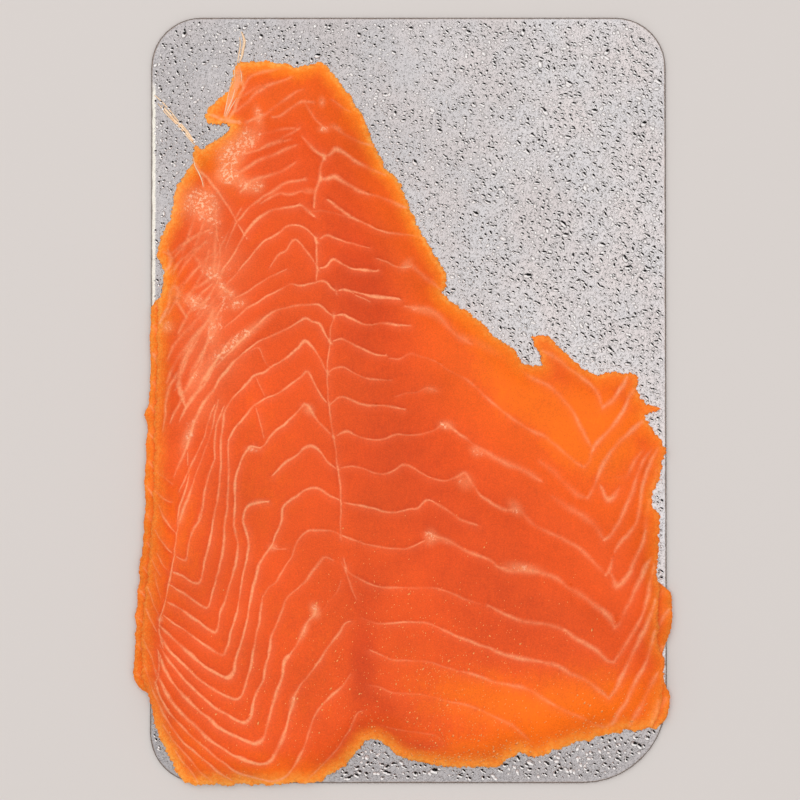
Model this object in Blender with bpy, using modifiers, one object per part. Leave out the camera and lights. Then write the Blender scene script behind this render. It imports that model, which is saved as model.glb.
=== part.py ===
"""Smoked salmon slices on their silver card board.

Three long slices of one side of salmon lie on a rounded card board, each on the one below it. The
bottom slice shows past the left rim of the pile, the middle one past its right rim, and the top
slice covers both and hangs down to the board where they stop short of it.

Metres, +Z up. The origin is at the middle of the board's underside, with +X across the board and +Y
along it towards the narrow end of the slices.
"""

import math
import random

import bmesh
import bpy
import numpy as np
from mathutils import Vector, geometry

MM = 0.001

# The board, a foil-faced card. One corner was cut with a wider radius than the other three.
BOARD_WIDTH = 165 * MM
BOARD_LENGTH = 245 * MM
BOARD_THICKNESS = 1.2 * MM
CORNER_RADIUS = 16 * MM
WIDE_CORNER_RADIUS = 27 * MM
CORNER_SEGMENTS = 10
BOARD_EDGE_ROUND = 0.25 * MM

# The slices: hand-cut, thickest in the middle and thin at the rim.
SLICE_THICKNESS = 2.5 * MM
RIM_THICKNESS = 0.9 * MM
TAPER_RUN = 7 * MM  # how far in from the rim a slice reaches its full thickness
DRAPE_RUN = 12 * MM  # how far past the rim of a lower slice the upper one takes to sink
GAP = 0.35 * MM  # between neighbours
WAVE_HEIGHT = 0.5 * MM  # how much the pile rises and dips over its length
RIM_STEP = 3.0 * MM  # between points along a rim
LATTICE_STEP = 6.8 * MM  # between points inside it
FRINGE = 0.45 * MM  # how far the rim wanders where the knife and the skin pulled at it

# Rims, in millimetres from the middle of the board, clockwise from the narrow end. The straight
# stretches between corners are cuts, and the close corners are tears in the flesh.
TOP_RIM = (
    # across the narrow end
    (-54.6, 107.6), (-42, 107.6), (-34, 106.4), (-28, 108.4),
    # down the belly cut to the torn flap
    (-24, 104), (-19.7, 98.7), (-13.6, 88.2), (-7.5, 73.8), (-2.7, 69), (2.7, 55.5), (7.5, 47.2),
    (12.3, 39.2), (10.7, 33.8), (22.6, 25.1), (27.7, 19.7), (33.8, 15.8), (36.3, 11.7), (43, 11),
    (39.5, 20.3), (44.6, 19.7), (52.6, 11.7), (60, 7.5), (65.4, 8.8),
    # the ragged shoulder and the right side
    (73.4, 7.2), (72.8, 2.4), (76.6, -1.8), (80.2, -3), (75.4, -5.3), (78.6, -10.4), (82.1, -15.8),
    (78.9, -28.6), (77.3, -31.2), (80.2, -38.2), (79.5, -51.7), (79.4, -64), (79, -76),
    (81.6, -83), (80.6, -93), (77.6, -104.5),
    # along the wide end, with the split between its two lobes
    (69.3, -105.1), (52, -109.9), (40.2, -113.8), (35.7, -112.2), (29, -116.6), (13.6, -117),
    (-1.8, -114.4), (-11.4, -108), (-20.6, -116.6), (-28, -121.8), (-46.2, -122.7), (-69, -122.7),
    (-74.4, -117.9), (-79.8, -106), (-82.7, -94.6),
    # up the left side
    (-84.8, -88), (-84.7, -74), (-83, -56), (-81.4, -32), (-80.8, -8), (-80.2, 15),
    (-80, 29), (-78.2, 41.4), (-80.5, 46.2), (-76, 57.8), (-74.4, 67.4), (-69.3, 75.4),
    (-68.3, 81.4), (-66.1, 79.8), (-56.8, 87.2), (-64.2, 88.5), (-64.2, 93.3), (-57.8, 98.7),
)
MIDDLE_RIM = (
    (-34, 90), (-20.3, 80), (-11.7, 59), (-2.7, 41.4), (3, 22), (11.7, 1.4), (26, -13),
    (42, -25.8), (61, -40), (76, -52), (80.5, -59), (83.7, -61.6), (84, -71.2), (82.1, -77.6),
    (79.6, -86), (83.4, -94.6), (82.1, -101.9), (79, -105.2), (66, -101), (45, -107),
    (20, -112), (-2, -109), (-12, -103), (-24, -113), (-42, -117), (-64, -115), (-75, -97),
    (-77, -60), (-75, -20), (-73, 20), (-67, 50), (-56, 76),
)
BOTTOM_RIM = (
    (-58, 74), (-40, 80), (-28, 70), (-20, 48), (-13, 24), (-4, -4), (14, -26), (40, -50),
    (62, -74), (68, -90), (56, -99), (32, -107), (8, -110), (-8, -104), (-14, -99), (-26, -110),
    (-44, -118), (-66, -118), (-76, -104), (-83.5, -93.4), (-87.2, -89.8), (-87.2, -75),
    (-85.9, -56.5), (-84.6, -44.3), (-84, -24), (-83.4, -7.8), (-84.4, -5), (-82.7, 1.1),
    (-82.4, 29), (-79, 33), (-76, 48), (-68, 64),
)


def rim_points(corners, seed):
    """A slice's rim as points RIM_STEP apart: smooth between its corners, and slightly frayed."""
    rng = random.Random(seed)
    here = [Vector(c) * MM for c in corners]
    count = len(here)
    points = []
    for i in range(count):
        before, start, end, after = (here[(i + k) % count] for k in (-1, 0, 1, 2))
        span = (end - start).length
        steps = max(1, round(span / RIM_STEP))
        # The tangents are kept short, so that a torn corner stays sharp.
        leaving = (end - before).normalized() * span * 0.55
        arriving = (after - start).normalized() * span * 0.55
        across = Vector((start.y - end.y, end.x - start.x)).normalized()
        for k in range(steps):
            t = k / steps
            point = (
                start * (2 * t**3 - 3 * t**2 + 1)
                + leaving * (t**3 - 2 * t**2 + t)
                + end * (3 * t**2 - 2 * t**3)
                + arriving * (t**3 - t**2)
            )
            if k:
                point += across * rng.uniform(-FRINGE, FRINGE)
            points.append(point)
    return np.array(points)


def distance_inside(points, rim):
    """How far each point is inside a closed rim, negative outside it."""
    start = rim
    end = np.roll(rim, -1, axis=0)
    run = end - start
    offset = points[:, None] - start[None]
    share = np.clip((offset * run).sum(2) / (run**2).sum(1), 0, 1)
    nearest = np.linalg.norm(offset - share[..., None] * run, axis=2).min(1)
    x = points[:, None, 0]
    y = points[:, None, 1]
    straddles = (start[:, 1] > y) != (end[:, 1] > y)
    rise = np.where(run[:, 1] == 0, 1, run[:, 1])
    crossing = start[:, 0] + (y - start[:, 1]) * run[:, 0] / rise
    inside = (straddles & (x < crossing)).sum(1) % 2 == 1
    return np.where(inside, nearest, -nearest)


def smooth_step(t):
    t = np.clip(t, 0, 1)
    return t * t * (3 - 2 * t)


def wave(points):
    """The pile's own low rise and fall, never below the board."""
    x = points[:, 0]
    y = points[:, 1]
    long_wave = np.sin(y / (31 * MM) + x / (52 * MM))
    cross_wave = np.sin(x / (23 * MM) - y / (40 * MM) + 1.3)
    return WAVE_HEIGHT * (0.5 + 0.3 * long_wave + 0.2 * cross_wave)


def lattice(rim):
    """Points in staggered rows inside a rim, clear of the rim itself."""
    row_step = LATTICE_STEP * math.sqrt(3) / 2
    rows = math.ceil(BOARD_LENGTH / row_step / 2) + 1
    columns = math.ceil(BOARD_WIDTH / LATTICE_STEP / 2) + 2
    grid = []
    for j in range(-rows, rows + 1):
        shift = LATTICE_STEP / 2 * (j % 2)
        for i in range(-columns, columns + 1):
            grid.append((i * LATTICE_STEP + shift, j * row_step))
    grid = np.array(grid)
    return grid[distance_inside(grid, rim) > LATTICE_STEP * 0.45]


def support_height(points, rims_below):
    """The height of what a slice lies on: the board, and each lower slice with its tapered rim."""
    height = BOARD_THICKNESS + GAP + wave(points)
    for rim in rims_below:
        depth = distance_inside(points, rim)
        covered = smooth_step((depth + DRAPE_RUN) / (DRAPE_RUN + TAPER_RUN))
        height += (SLICE_THICKNESS + GAP) * covered
    return height


def make_material(name, colour, roughness, metallic=0.0):
    material = bpy.data.materials.new(name)
    material.use_nodes = True
    shader = material.node_tree.nodes["Principled BSDF"]
    shader.inputs["Base Color"].default_value = (*colour, 1)
    shader.inputs["Roughness"].default_value = roughness
    shader.inputs["Metallic"].default_value = metallic
    return material


def make_slice(name, rim, rims_below, material, collection):
    """One slice: a draped sheet, thickened upwards and thinned towards its rim."""
    inner = lattice(rim)
    flat = np.concatenate([rim, inner])
    edges = [(i, (i + 1) % len(rim)) for i in range(len(rim))]
    corners, _, faces, _, _, _ = geometry.delaunay_2d_cdt(
        [Vector(p) for p in flat], edges, [], 1, 1e-7
    )
    places = np.array([tuple(c) for c in corners])
    height = support_height(places, rims_below)

    mesh = bpy.data.meshes.new(name)
    form = bmesh.new()
    vertices = [form.verts.new((x, y, z)) for (x, y), z in zip(places, height)]
    for face in faces:
        form.faces.new([vertices[i] for i in face])
    loose = [v for v in form.verts if not v.link_faces]
    bmesh.ops.delete(form, geom=loose, context="VERTS")
    bmesh.ops.recalc_face_normals(form, faces=form.faces)
    if sum(f.normal.z for f in form.faces) < 0:
        bmesh.ops.reverse_faces(form, faces=form.faces)
    form.to_mesh(mesh)
    form.free()
    mesh.materials.append(material)
    mesh.shade_smooth()

    piece = bpy.data.objects.new(name, mesh)
    collection.objects.link(piece)
    flat = np.array([v.co[:2] for v in mesh.vertices])
    fullness = smooth_step(distance_inside(flat, rim) / TAPER_RUN)
    least = RIM_THICKNESS / SLICE_THICKNESS
    group = piece.vertex_groups.new(name="thickness")
    for i, full in enumerate(fullness):
        group.add([i], least + (1 - least) * float(full), "REPLACE")
    solidify = piece.modifiers.new("Thickness", "SOLIDIFY")
    solidify.thickness = SLICE_THICKNESS
    solidify.offset = 1
    solidify.vertex_group = group.name
    return piece


def make_board(collection):
    """The card: a plate with rounded corners and a softened edge."""
    form = bmesh.new()
    bmesh.ops.create_cube(form, size=1)
    bmesh.ops.scale(form, vec=(BOARD_WIDTH, BOARD_LENGTH, BOARD_THICKNESS), verts=form.verts)
    bmesh.ops.translate(form, vec=(0, 0, BOARD_THICKNESS / 2), verts=form.verts)
    upright = [e for e in form.edges if abs(e.verts[0].co.z - e.verts[1].co.z) > 0.5 * BOARD_THICKNESS]
    wide = [e for e in upright if e.verts[0].co.x > 0 and e.verts[0].co.y < 0]
    others = [e for e in upright if e not in wide]
    for edges, radius in ((others, CORNER_RADIUS), (wide, WIDE_CORNER_RADIUS)):
        bmesh.ops.bevel(
            form,
            geom=edges,
            offset=radius,
            segments=CORNER_SEGMENTS,
            profile=0.5,
            affect="EDGES",
            material=-1,
        )
    outline = [e for e in form.edges if len({round(f.normal.z) for f in e.link_faces}) == 2]
    bmesh.ops.bevel(
        form,
        geom=outline,
        offset=BOARD_EDGE_ROUND,
        segments=2,
        profile=0.5,
        affect="EDGES",
        material=-1,
    )
    mesh = bpy.data.meshes.new("board")
    form.to_mesh(mesh)
    form.free()
    mesh.materials.append(make_material("foil", (0.57, 0.55, 0.55), 0.35, 1.0))
    collection.objects.link(bpy.data.objects.new("board", mesh))


def main():
    for item in list(bpy.data.objects):
        bpy.data.objects.remove(item, do_unlink=True)
    collection = bpy.data.collections.new("smoked_salmon_slices")
    bpy.context.scene.collection.children.link(collection)

    make_board(collection)
    bottom = rim_points(BOTTOM_RIM, seed=11)
    middle = rim_points(MIDDLE_RIM, seed=12)
    top = rim_points(TOP_RIM, seed=13)
    under_flesh = (0.86, 0.17, 0.03)
    top_flesh = (0.87, 0.12, 0.03)
    make_slice("slice_bottom", bottom, [], make_material("flesh_bottom", under_flesh, 0.35), collection)
    make_slice(
        "slice_middle", middle, [bottom], make_material("flesh_middle", under_flesh, 0.35), collection
    )
    make_slice(
        "slice_top", top, [bottom, middle], make_material("flesh_top", top_flesh, 0.3), collection
    )


main()
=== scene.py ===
"""Looks of the smoked salmon slices on their silver board, laid out as a Blender add-on."""

import math
import random

import bmesh
import bpy
import numpy as np
from bpy.props import FloatProperty, FloatVectorProperty, IntProperty, PointerProperty
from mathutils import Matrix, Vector, geometry, kdtree, noise
from mathutils.bvhtree import BVHTree


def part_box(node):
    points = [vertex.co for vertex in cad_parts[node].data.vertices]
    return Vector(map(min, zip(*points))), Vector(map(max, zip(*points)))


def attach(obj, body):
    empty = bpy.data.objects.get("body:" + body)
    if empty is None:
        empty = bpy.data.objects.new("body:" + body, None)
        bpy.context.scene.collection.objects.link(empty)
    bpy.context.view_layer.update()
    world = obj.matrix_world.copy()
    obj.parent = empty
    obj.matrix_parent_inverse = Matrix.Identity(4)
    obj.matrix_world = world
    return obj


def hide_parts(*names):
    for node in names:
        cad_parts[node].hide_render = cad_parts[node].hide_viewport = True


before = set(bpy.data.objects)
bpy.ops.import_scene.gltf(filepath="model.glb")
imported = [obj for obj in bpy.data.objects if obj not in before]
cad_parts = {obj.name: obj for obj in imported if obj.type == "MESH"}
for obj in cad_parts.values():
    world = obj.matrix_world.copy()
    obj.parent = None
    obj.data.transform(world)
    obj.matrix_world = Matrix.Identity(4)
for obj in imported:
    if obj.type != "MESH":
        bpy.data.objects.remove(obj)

bl_info = {
    "name": "Smoked Salmon Slices",
    "version": (1, 0, 0),
    "blender": (4, 5, 0),
    "location": "View3D > Sidebar > Salmon",
    "description": "Builds the flesh, fat lines, foil board and condensation of a tray of sliced salmon",
    "category": "Object",
}

MM = 0.001
BODY = "root"
BOARD_HIGH = Vector(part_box("board")[1])
CORNER = 16 * MM  # radius of the board's corners
WIDE_CORNER = 27 * MM  # radius of its lower right corner

# The fat lines of the top slice, in millimetres from the middle of the board. Each row gives a line's
# width, its paleness from 0 to 1, and the points that it runs through. Lines left of the back line
# rise to a crest, sink in a steep bundle and turn up again at a low point.
BACK_LINE = (
    (0.5, 0.55, (-26.8, 77), (-28, 73.5), (-28.2, 70), (-29.5, 66), (-30, 61)),
    (0.6, 0.6, (-29.3, 50.5), (-29.2, 46), (-28.9, 41.5), (-29.2, 37)),
    (0.5, 0.35, (-23.6, 26), (-24.6, 22.5), (-25, 18)),
    (0.5, 0.6, (-24.8, 18), (-25.4, 13), (-25.8, 8.5), (-25.7, 3), (-25.2, -2)),
    (0.6, 0.6, (-25.2, -2), (-24.6, -7), (-23.7, -12), (-23, -17), (-22.5, -22)),
    (0.6, 0.6, (-22.5, -22), (-21.7, -27), (-21.4, -33), (-21.6, -39), (-21.4, -44.5)),
    (0.6, 0.4, (-21, -52), (-19.5, -55.5), (-18, -60), (-16.8, -63)),
)
RIGHT_LINES = (
    (0.6, 0.3, (-24, 95.5), (-21, 93.3), (-18.5, 92)),
    (0.8, 0.4, (-24, 87), (-21, 85), (-18, 83.3), (-15, 82), (-11.5, 81.4)),
    (0.9, 0.6, (-27, 77), (-25, 77.6), (-23.5, 79.5), (-21, 78.8), (-17, 76), (-13, 74), (-8, 72)),
    (0.8, 0.6, (-28, 70), (-25.8, 70), (-23.5, 70.6), (-20, 68.8), (-16, 66.4), (-13, 65.4)),
    (0.9, 0.45, (-13, 65.4), (-9, 64.6), (-4, 62.5), (0, 60.8)),
    (0.8, 0.55, (-25.5, 63.2), (-22, 60.5), (-18, 57.6), (-14, 56), (-10, 54)),
    (0.9, 0.5, (-10, 54), (-6, 53), (-2, 52.6), (1, 52.4)),
    (0.5, 0.35, (-31, 59.6), (-26, 59.5), (-21, 58.2), (-17, 57)),
    (0.7, 0.6, (-29.3, 50.5), (-28, 50.8), (-26, 52), (-23, 50.9), (-19, 49.6), (-12.5, 48)),
    (0.7, 0.7, (-28.7, 41.4), (-26.4, 42), (-23.8, 44.3), (-21, 43), (-18, 41.5), (-15.5, 41)),
    (1.2, 0.75, (-16.5, 41.2), (-14, 40.9), (-10.2, 40.8)),
    (0.7, 0.6, (-22.8, 34.2), (-20.5, 34.5), (-17, 33.8), (-14, 33.2)),
    (1.2, 0.8, (-14.5, 33.3), (-12, 32.7), (-9, 32.3), (-3, 31.9)),
    (0.4, 0.4, (-19, 34.1), (-16, 32.6), (-12.5, 31)),
    (0.7, 0.6, (-23.5, 26.3), (-21, 26.7), (-19, 26), (-16, 24.3), (-13, 23.4), (-10, 23.7)),
    (1.1, 0.65, (-12, 23.5), (-8, 24.1), (-4, 23.6), (0, 23.3)),
    (0.8, 0.7, (-24.6, 17.8), (-21.3, 19.1), (-18, 17.5), (-14, 15.5), (-11, 14.2), (-7.5, 13.7)),
    (0.9, 0.5, (-6, 12.9), (-3, 12.6), (0.5, 14.4), (3, 13.9), (7, 12.7), (10, 11.2)),
    (0.7, 0.45, (9, 11.8), (13, 9), (18, 6.6), (22, 3.2), (27, -1.4), (33, -6), (38, -9.6)),
    (0.7, 0.45, (38, -9.6), (43, -11.6), (46, -14), (50, -17.4), (53, -20), (56, -21.6)),
    (0.8, 0.7, (-25.6, 8), (-23.8, 9.6), (-20.5, 9.9), (-17, 8), (-13, 6.5), (-9, 6.1), (-6, 6)),
    (0.9, 0.75, (-24.6, -1.7), (-22.5, 0), (-20.6, 0.6), (-17, -1), (-13, -2.2), (-9, -2.1)),
    (1.2, 0.75, (-10, -2.1), (-7, -2.3), (-4, -2.9), (-1.5, -3.3)),
    (0.6, 0.35, (-4, 0.8), (0, 1.9), (3, 2.3), (6, 3.6), (9, 2.4)),
    (0.8, 0.7, (-23.5, -12), (-21.5, -11), (-19.3, -10.3), (-16.5, -11.7), (-13, -12.8), (-9, -13),
     (-5, -11.8), (-3, -11.3), (0, -11.5)),
    (0.9, 0.6, (0, -11.6), (4, -11.3), (8, -10), (11.4, -7.8), (14, -9.6), (18, -12.5), (21, -14.5)),
    (1.6, 0.4, (20, -14), (25, -17), (30, -20), (36, -22.4), (42, -26)),
    (0.8, 0.7, (-22.2, -22.2), (-18, -21.4), (-15, -22), (-12, -23.2), (-8, -23.7), (-4.5, -22.6),
     (-2, -20.9), (1, -21.6), (4, -23.5), (7, -25)),
    (0.9, 0.6, (6, -24.6), (9, -25.6), (12, -25.8), (15.5, -24.6), (18, -23.6), (20, -26.6),
     (22.4, -30), (26, -32.8), (30, -35), (34, -35.3)),
    (0.9, 0.45, (36, -36), (40, -40), (45, -42.6), (50, -45), (55, -48), (59, -52), (62.6, -56)),
    (0.9, 0.7, (-21, -32.8), (-16, -33.7), (-12, -34.5), (-8, -35.6), (-4, -36), (0, -35), (3, -34.6),
     (5.6, -32.2), (8, -32.8)),
    (1.1, 0.55, (7, -32.4), (11, -34.5), (14, -36.5), (17, -38.5), (21.5, -40)),
    (0.8, 0.65, (-21, -43.3), (-18.5, -44.4), (-15.8, -45.1)),
    (0.8, 0.6, (-14, -46), (-10, -46.6), (-6, -47.3), (-1, -47.4), (2, -46.5), (5, -45)),
    (1.3, 0.5, (5.6, -42.4), (8, -43.5), (12, -44.6), (16, -47), (20, -49), (25, -50.6), (29, -53.4)),
    (1.3, 0.5, (28, -53), (33, -54.6), (37, -54.2), (42, -55.2), (46, -56.5), (51, -60)),
    (1.5, 0.55, (50, -59.4), (56, -63), (60, -66), (63.4, -69), (65.3, -72.4)),
    (0.8, 0.6, (-20.3, -51.5), (-18.8, -55), (-15, -57.2), (-12, -58.8), (-8, -59.6), (0, -59.8)),
    (0.9, 0.5, (-2, -59.8), (8, -60), (14, -61.6), (18, -63.5), (22.5, -65)),
    (0.9, 0.55, (25.5, -65.6), (30, -68), (35, -70), (40, -71), (45, -71.6), (50, -73.6)),
    (1.0, 0.55, (49, -73.2), (55, -77), (60, -80), (62.6, -82.6), (65, -83.4)),
    (0.8, 0.55, (-14, -69.6), (-10, -71.1), (-5, -71), (0, -70.7), (5, -70.8), (10, -72.5)),
    (1.0, 0.6, (9, -72.2), (15, -75), (20, -77), (26, -79.2), (31, -81.2), (36, -82.2), (42, -83.2)),
    (0.9, 0.5, (41, -83), (47, -84.5), (51, -87), (56, -89), (60, -92), (63.4, -95)),
    (0.8, 0.45, (-12, -79.6), (-9, -81), (-5, -82.5), (0, -82.8), (7, -83.3), (12, -85), (17, -86.5)),
    (0.9, 0.5, (16, -86.2), (21, -87.3), (27, -89.6), (33, -90.7), (38, -92), (42, -94.5), (46, -97)),
    (0.8, 0.4, (45, -96.5), (50, -99), (55, -101), (58, -103), (62, -104.4)),
    (0.7, 0.35, (-12, -90.6), (-9, -91.3), (-6, -92.7), (-2, -93.2), (4, -93.7), (9, -94.8), (14, -96)),
    (0.8, 0.45, (13, -95.8), (19, -97), (23, -98.5), (27, -100.5), (32, -103), (36, -106), (38, -108)),
    (0.7, 0.3, (-9, -103.5), (-5, -104.3), (0, -105.3), (5, -105.8), (9, -107), (11, -109)),
)
# Broad hazy bands of belly fat.
HAZE_LINES = (
    (0.9, 0.4, (-9.8, 44.6), (-7.2, 43.7), (-4, 42.1), (-0.2, 42.1), (1.1, 42.7)),
    (2.6, 0.4, (-1, 42.4), (1.1, 42.5), (3.7, 40.2), (6.9, 37.6), (10.1, 35.4)),
    (3.6, 0.35, (-0.8, 29.4), (3, 29), (6.2, 28.6), (10.1, 26.1), (13.9, 21.6), (19.7, 17.8)),
    (1.8, 0.35, (0, 60.4), (3, 59.4), (5.6, 58.6)),
    (1.8, 0.35, (1, 52.4), (4, 51.6), (7, 50.2)),
)
# Lines of the right-hand edge, which climb from their low points to the rim.
RIGHT_ARMS = (
    (0.8, 0.45, (36, 9), (40, 6.5), (45, 4), (50, -1), (53, -5), (55.6, -10), (58.6, -16)),
    (0.9, 0.6, (58.6, -16.4), (60, -14), (64, -10), (68, -4.5), (71, 1.5), (74, 5.4)),
    (1.0, 0.5, (51, 10), (55, 7.2), (58, 5), (60.5, 1.5), (62, -2.6)),
    (0.9, 0.6, (62, -2.8), (65, -0.5), (67.5, 3), (70, 7)),
    (1.3, 0.5, (43, 15.4), (46, 14), (49, 12), (51.5, 9.3)),
    (0.7, 0.45, (56, -21.6), (57.6, -20), (58.4, -17.5), (58.6, -15.5)),
    (1.8, 0.4, (42, -20), (46, -23), (50, -27), (54, -30.5), (57, -31.4)),
    (0.9, 0.6, (57, -31.4), (59.5, -27), (61, -23), (64, -17.5), (68, -13), (72, -9.5), (77, -5.6)),
    (0.9, 0.5, (61.5, -28), (62.5, -30.5), (63.5, -32.2), (65.5, -31), (67, -28.4)),
    (1.8, 0.35, (46, -31), (50, -34), (55, -37), (59, -40), (62, -44.6)),
    (0.9, 0.55, (62, -44.8), (64.5, -43), (67.5, -38), (70, -33), (71.5, -29), (73, -24), (75, -19.5),
     (77.5, -16)),
    (0.8, 0.5, (65.5, -48.6), (68, -45), (71, -41.8), (73, -38), (74, -33), (74.6, -28), (76.5, -22),
     (79.4, -16)),
    (1.3, 0.35, (75.4, -43), (76, -37), (77, -32), (78.4, -27), (79.4, -22)),
    (0.7, 0.35, (66.5, -24.8), (69.5, -24.6), (71.6, -20.5), (74, -17)),
    (0.7, 0.5, (62.6, -56), (63.8, -54.2), (64.6, -51.5)),
    (0.9, 0.55, (64.5, -55.6), (65.4, -58), (66, -59.6), (68, -58), (70, -55.6), (72, -51), (74, -47),
     (75.6, -42)),
    (1.1, 0.65, (65.3, -72.4), (67, -71), (69, -67), (71, -63), (73, -58.6), (75, -54.6), (77, -51)),
    (0.9, 0.55, (65, -83.4), (67, -81), (69, -77.5), (72, -73), (74.5, -68), (76, -63), (77, -58),
     (78.4, -53)),
    (0.9, 0.55, (63.4, -95), (66, -91), (68, -87), (71, -81), (74, -75), (76.5, -70), (78.6, -64)),
    (0.9, 0.5, (62, -104.6), (65, -103), (67, -99), (69.5, -95), (72, -89.5), (75, -84.5), (77, -79),
     (78.2, -74)),
    (1.4, 0.45, (70.5, -103.5), (73, -99), (76, -93), (79, -87.5)),
    (1.8, 0.5, (77.4, -103.5), (78.6, -100), (79.6, -96.5)),
    (0.7, 0.45, (79.6, -57), (80, -62), (80.6, -68)),
    (0.7, 0.4, (80.6, -66), (81.4, -71), (82, -77)),
)
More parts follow.
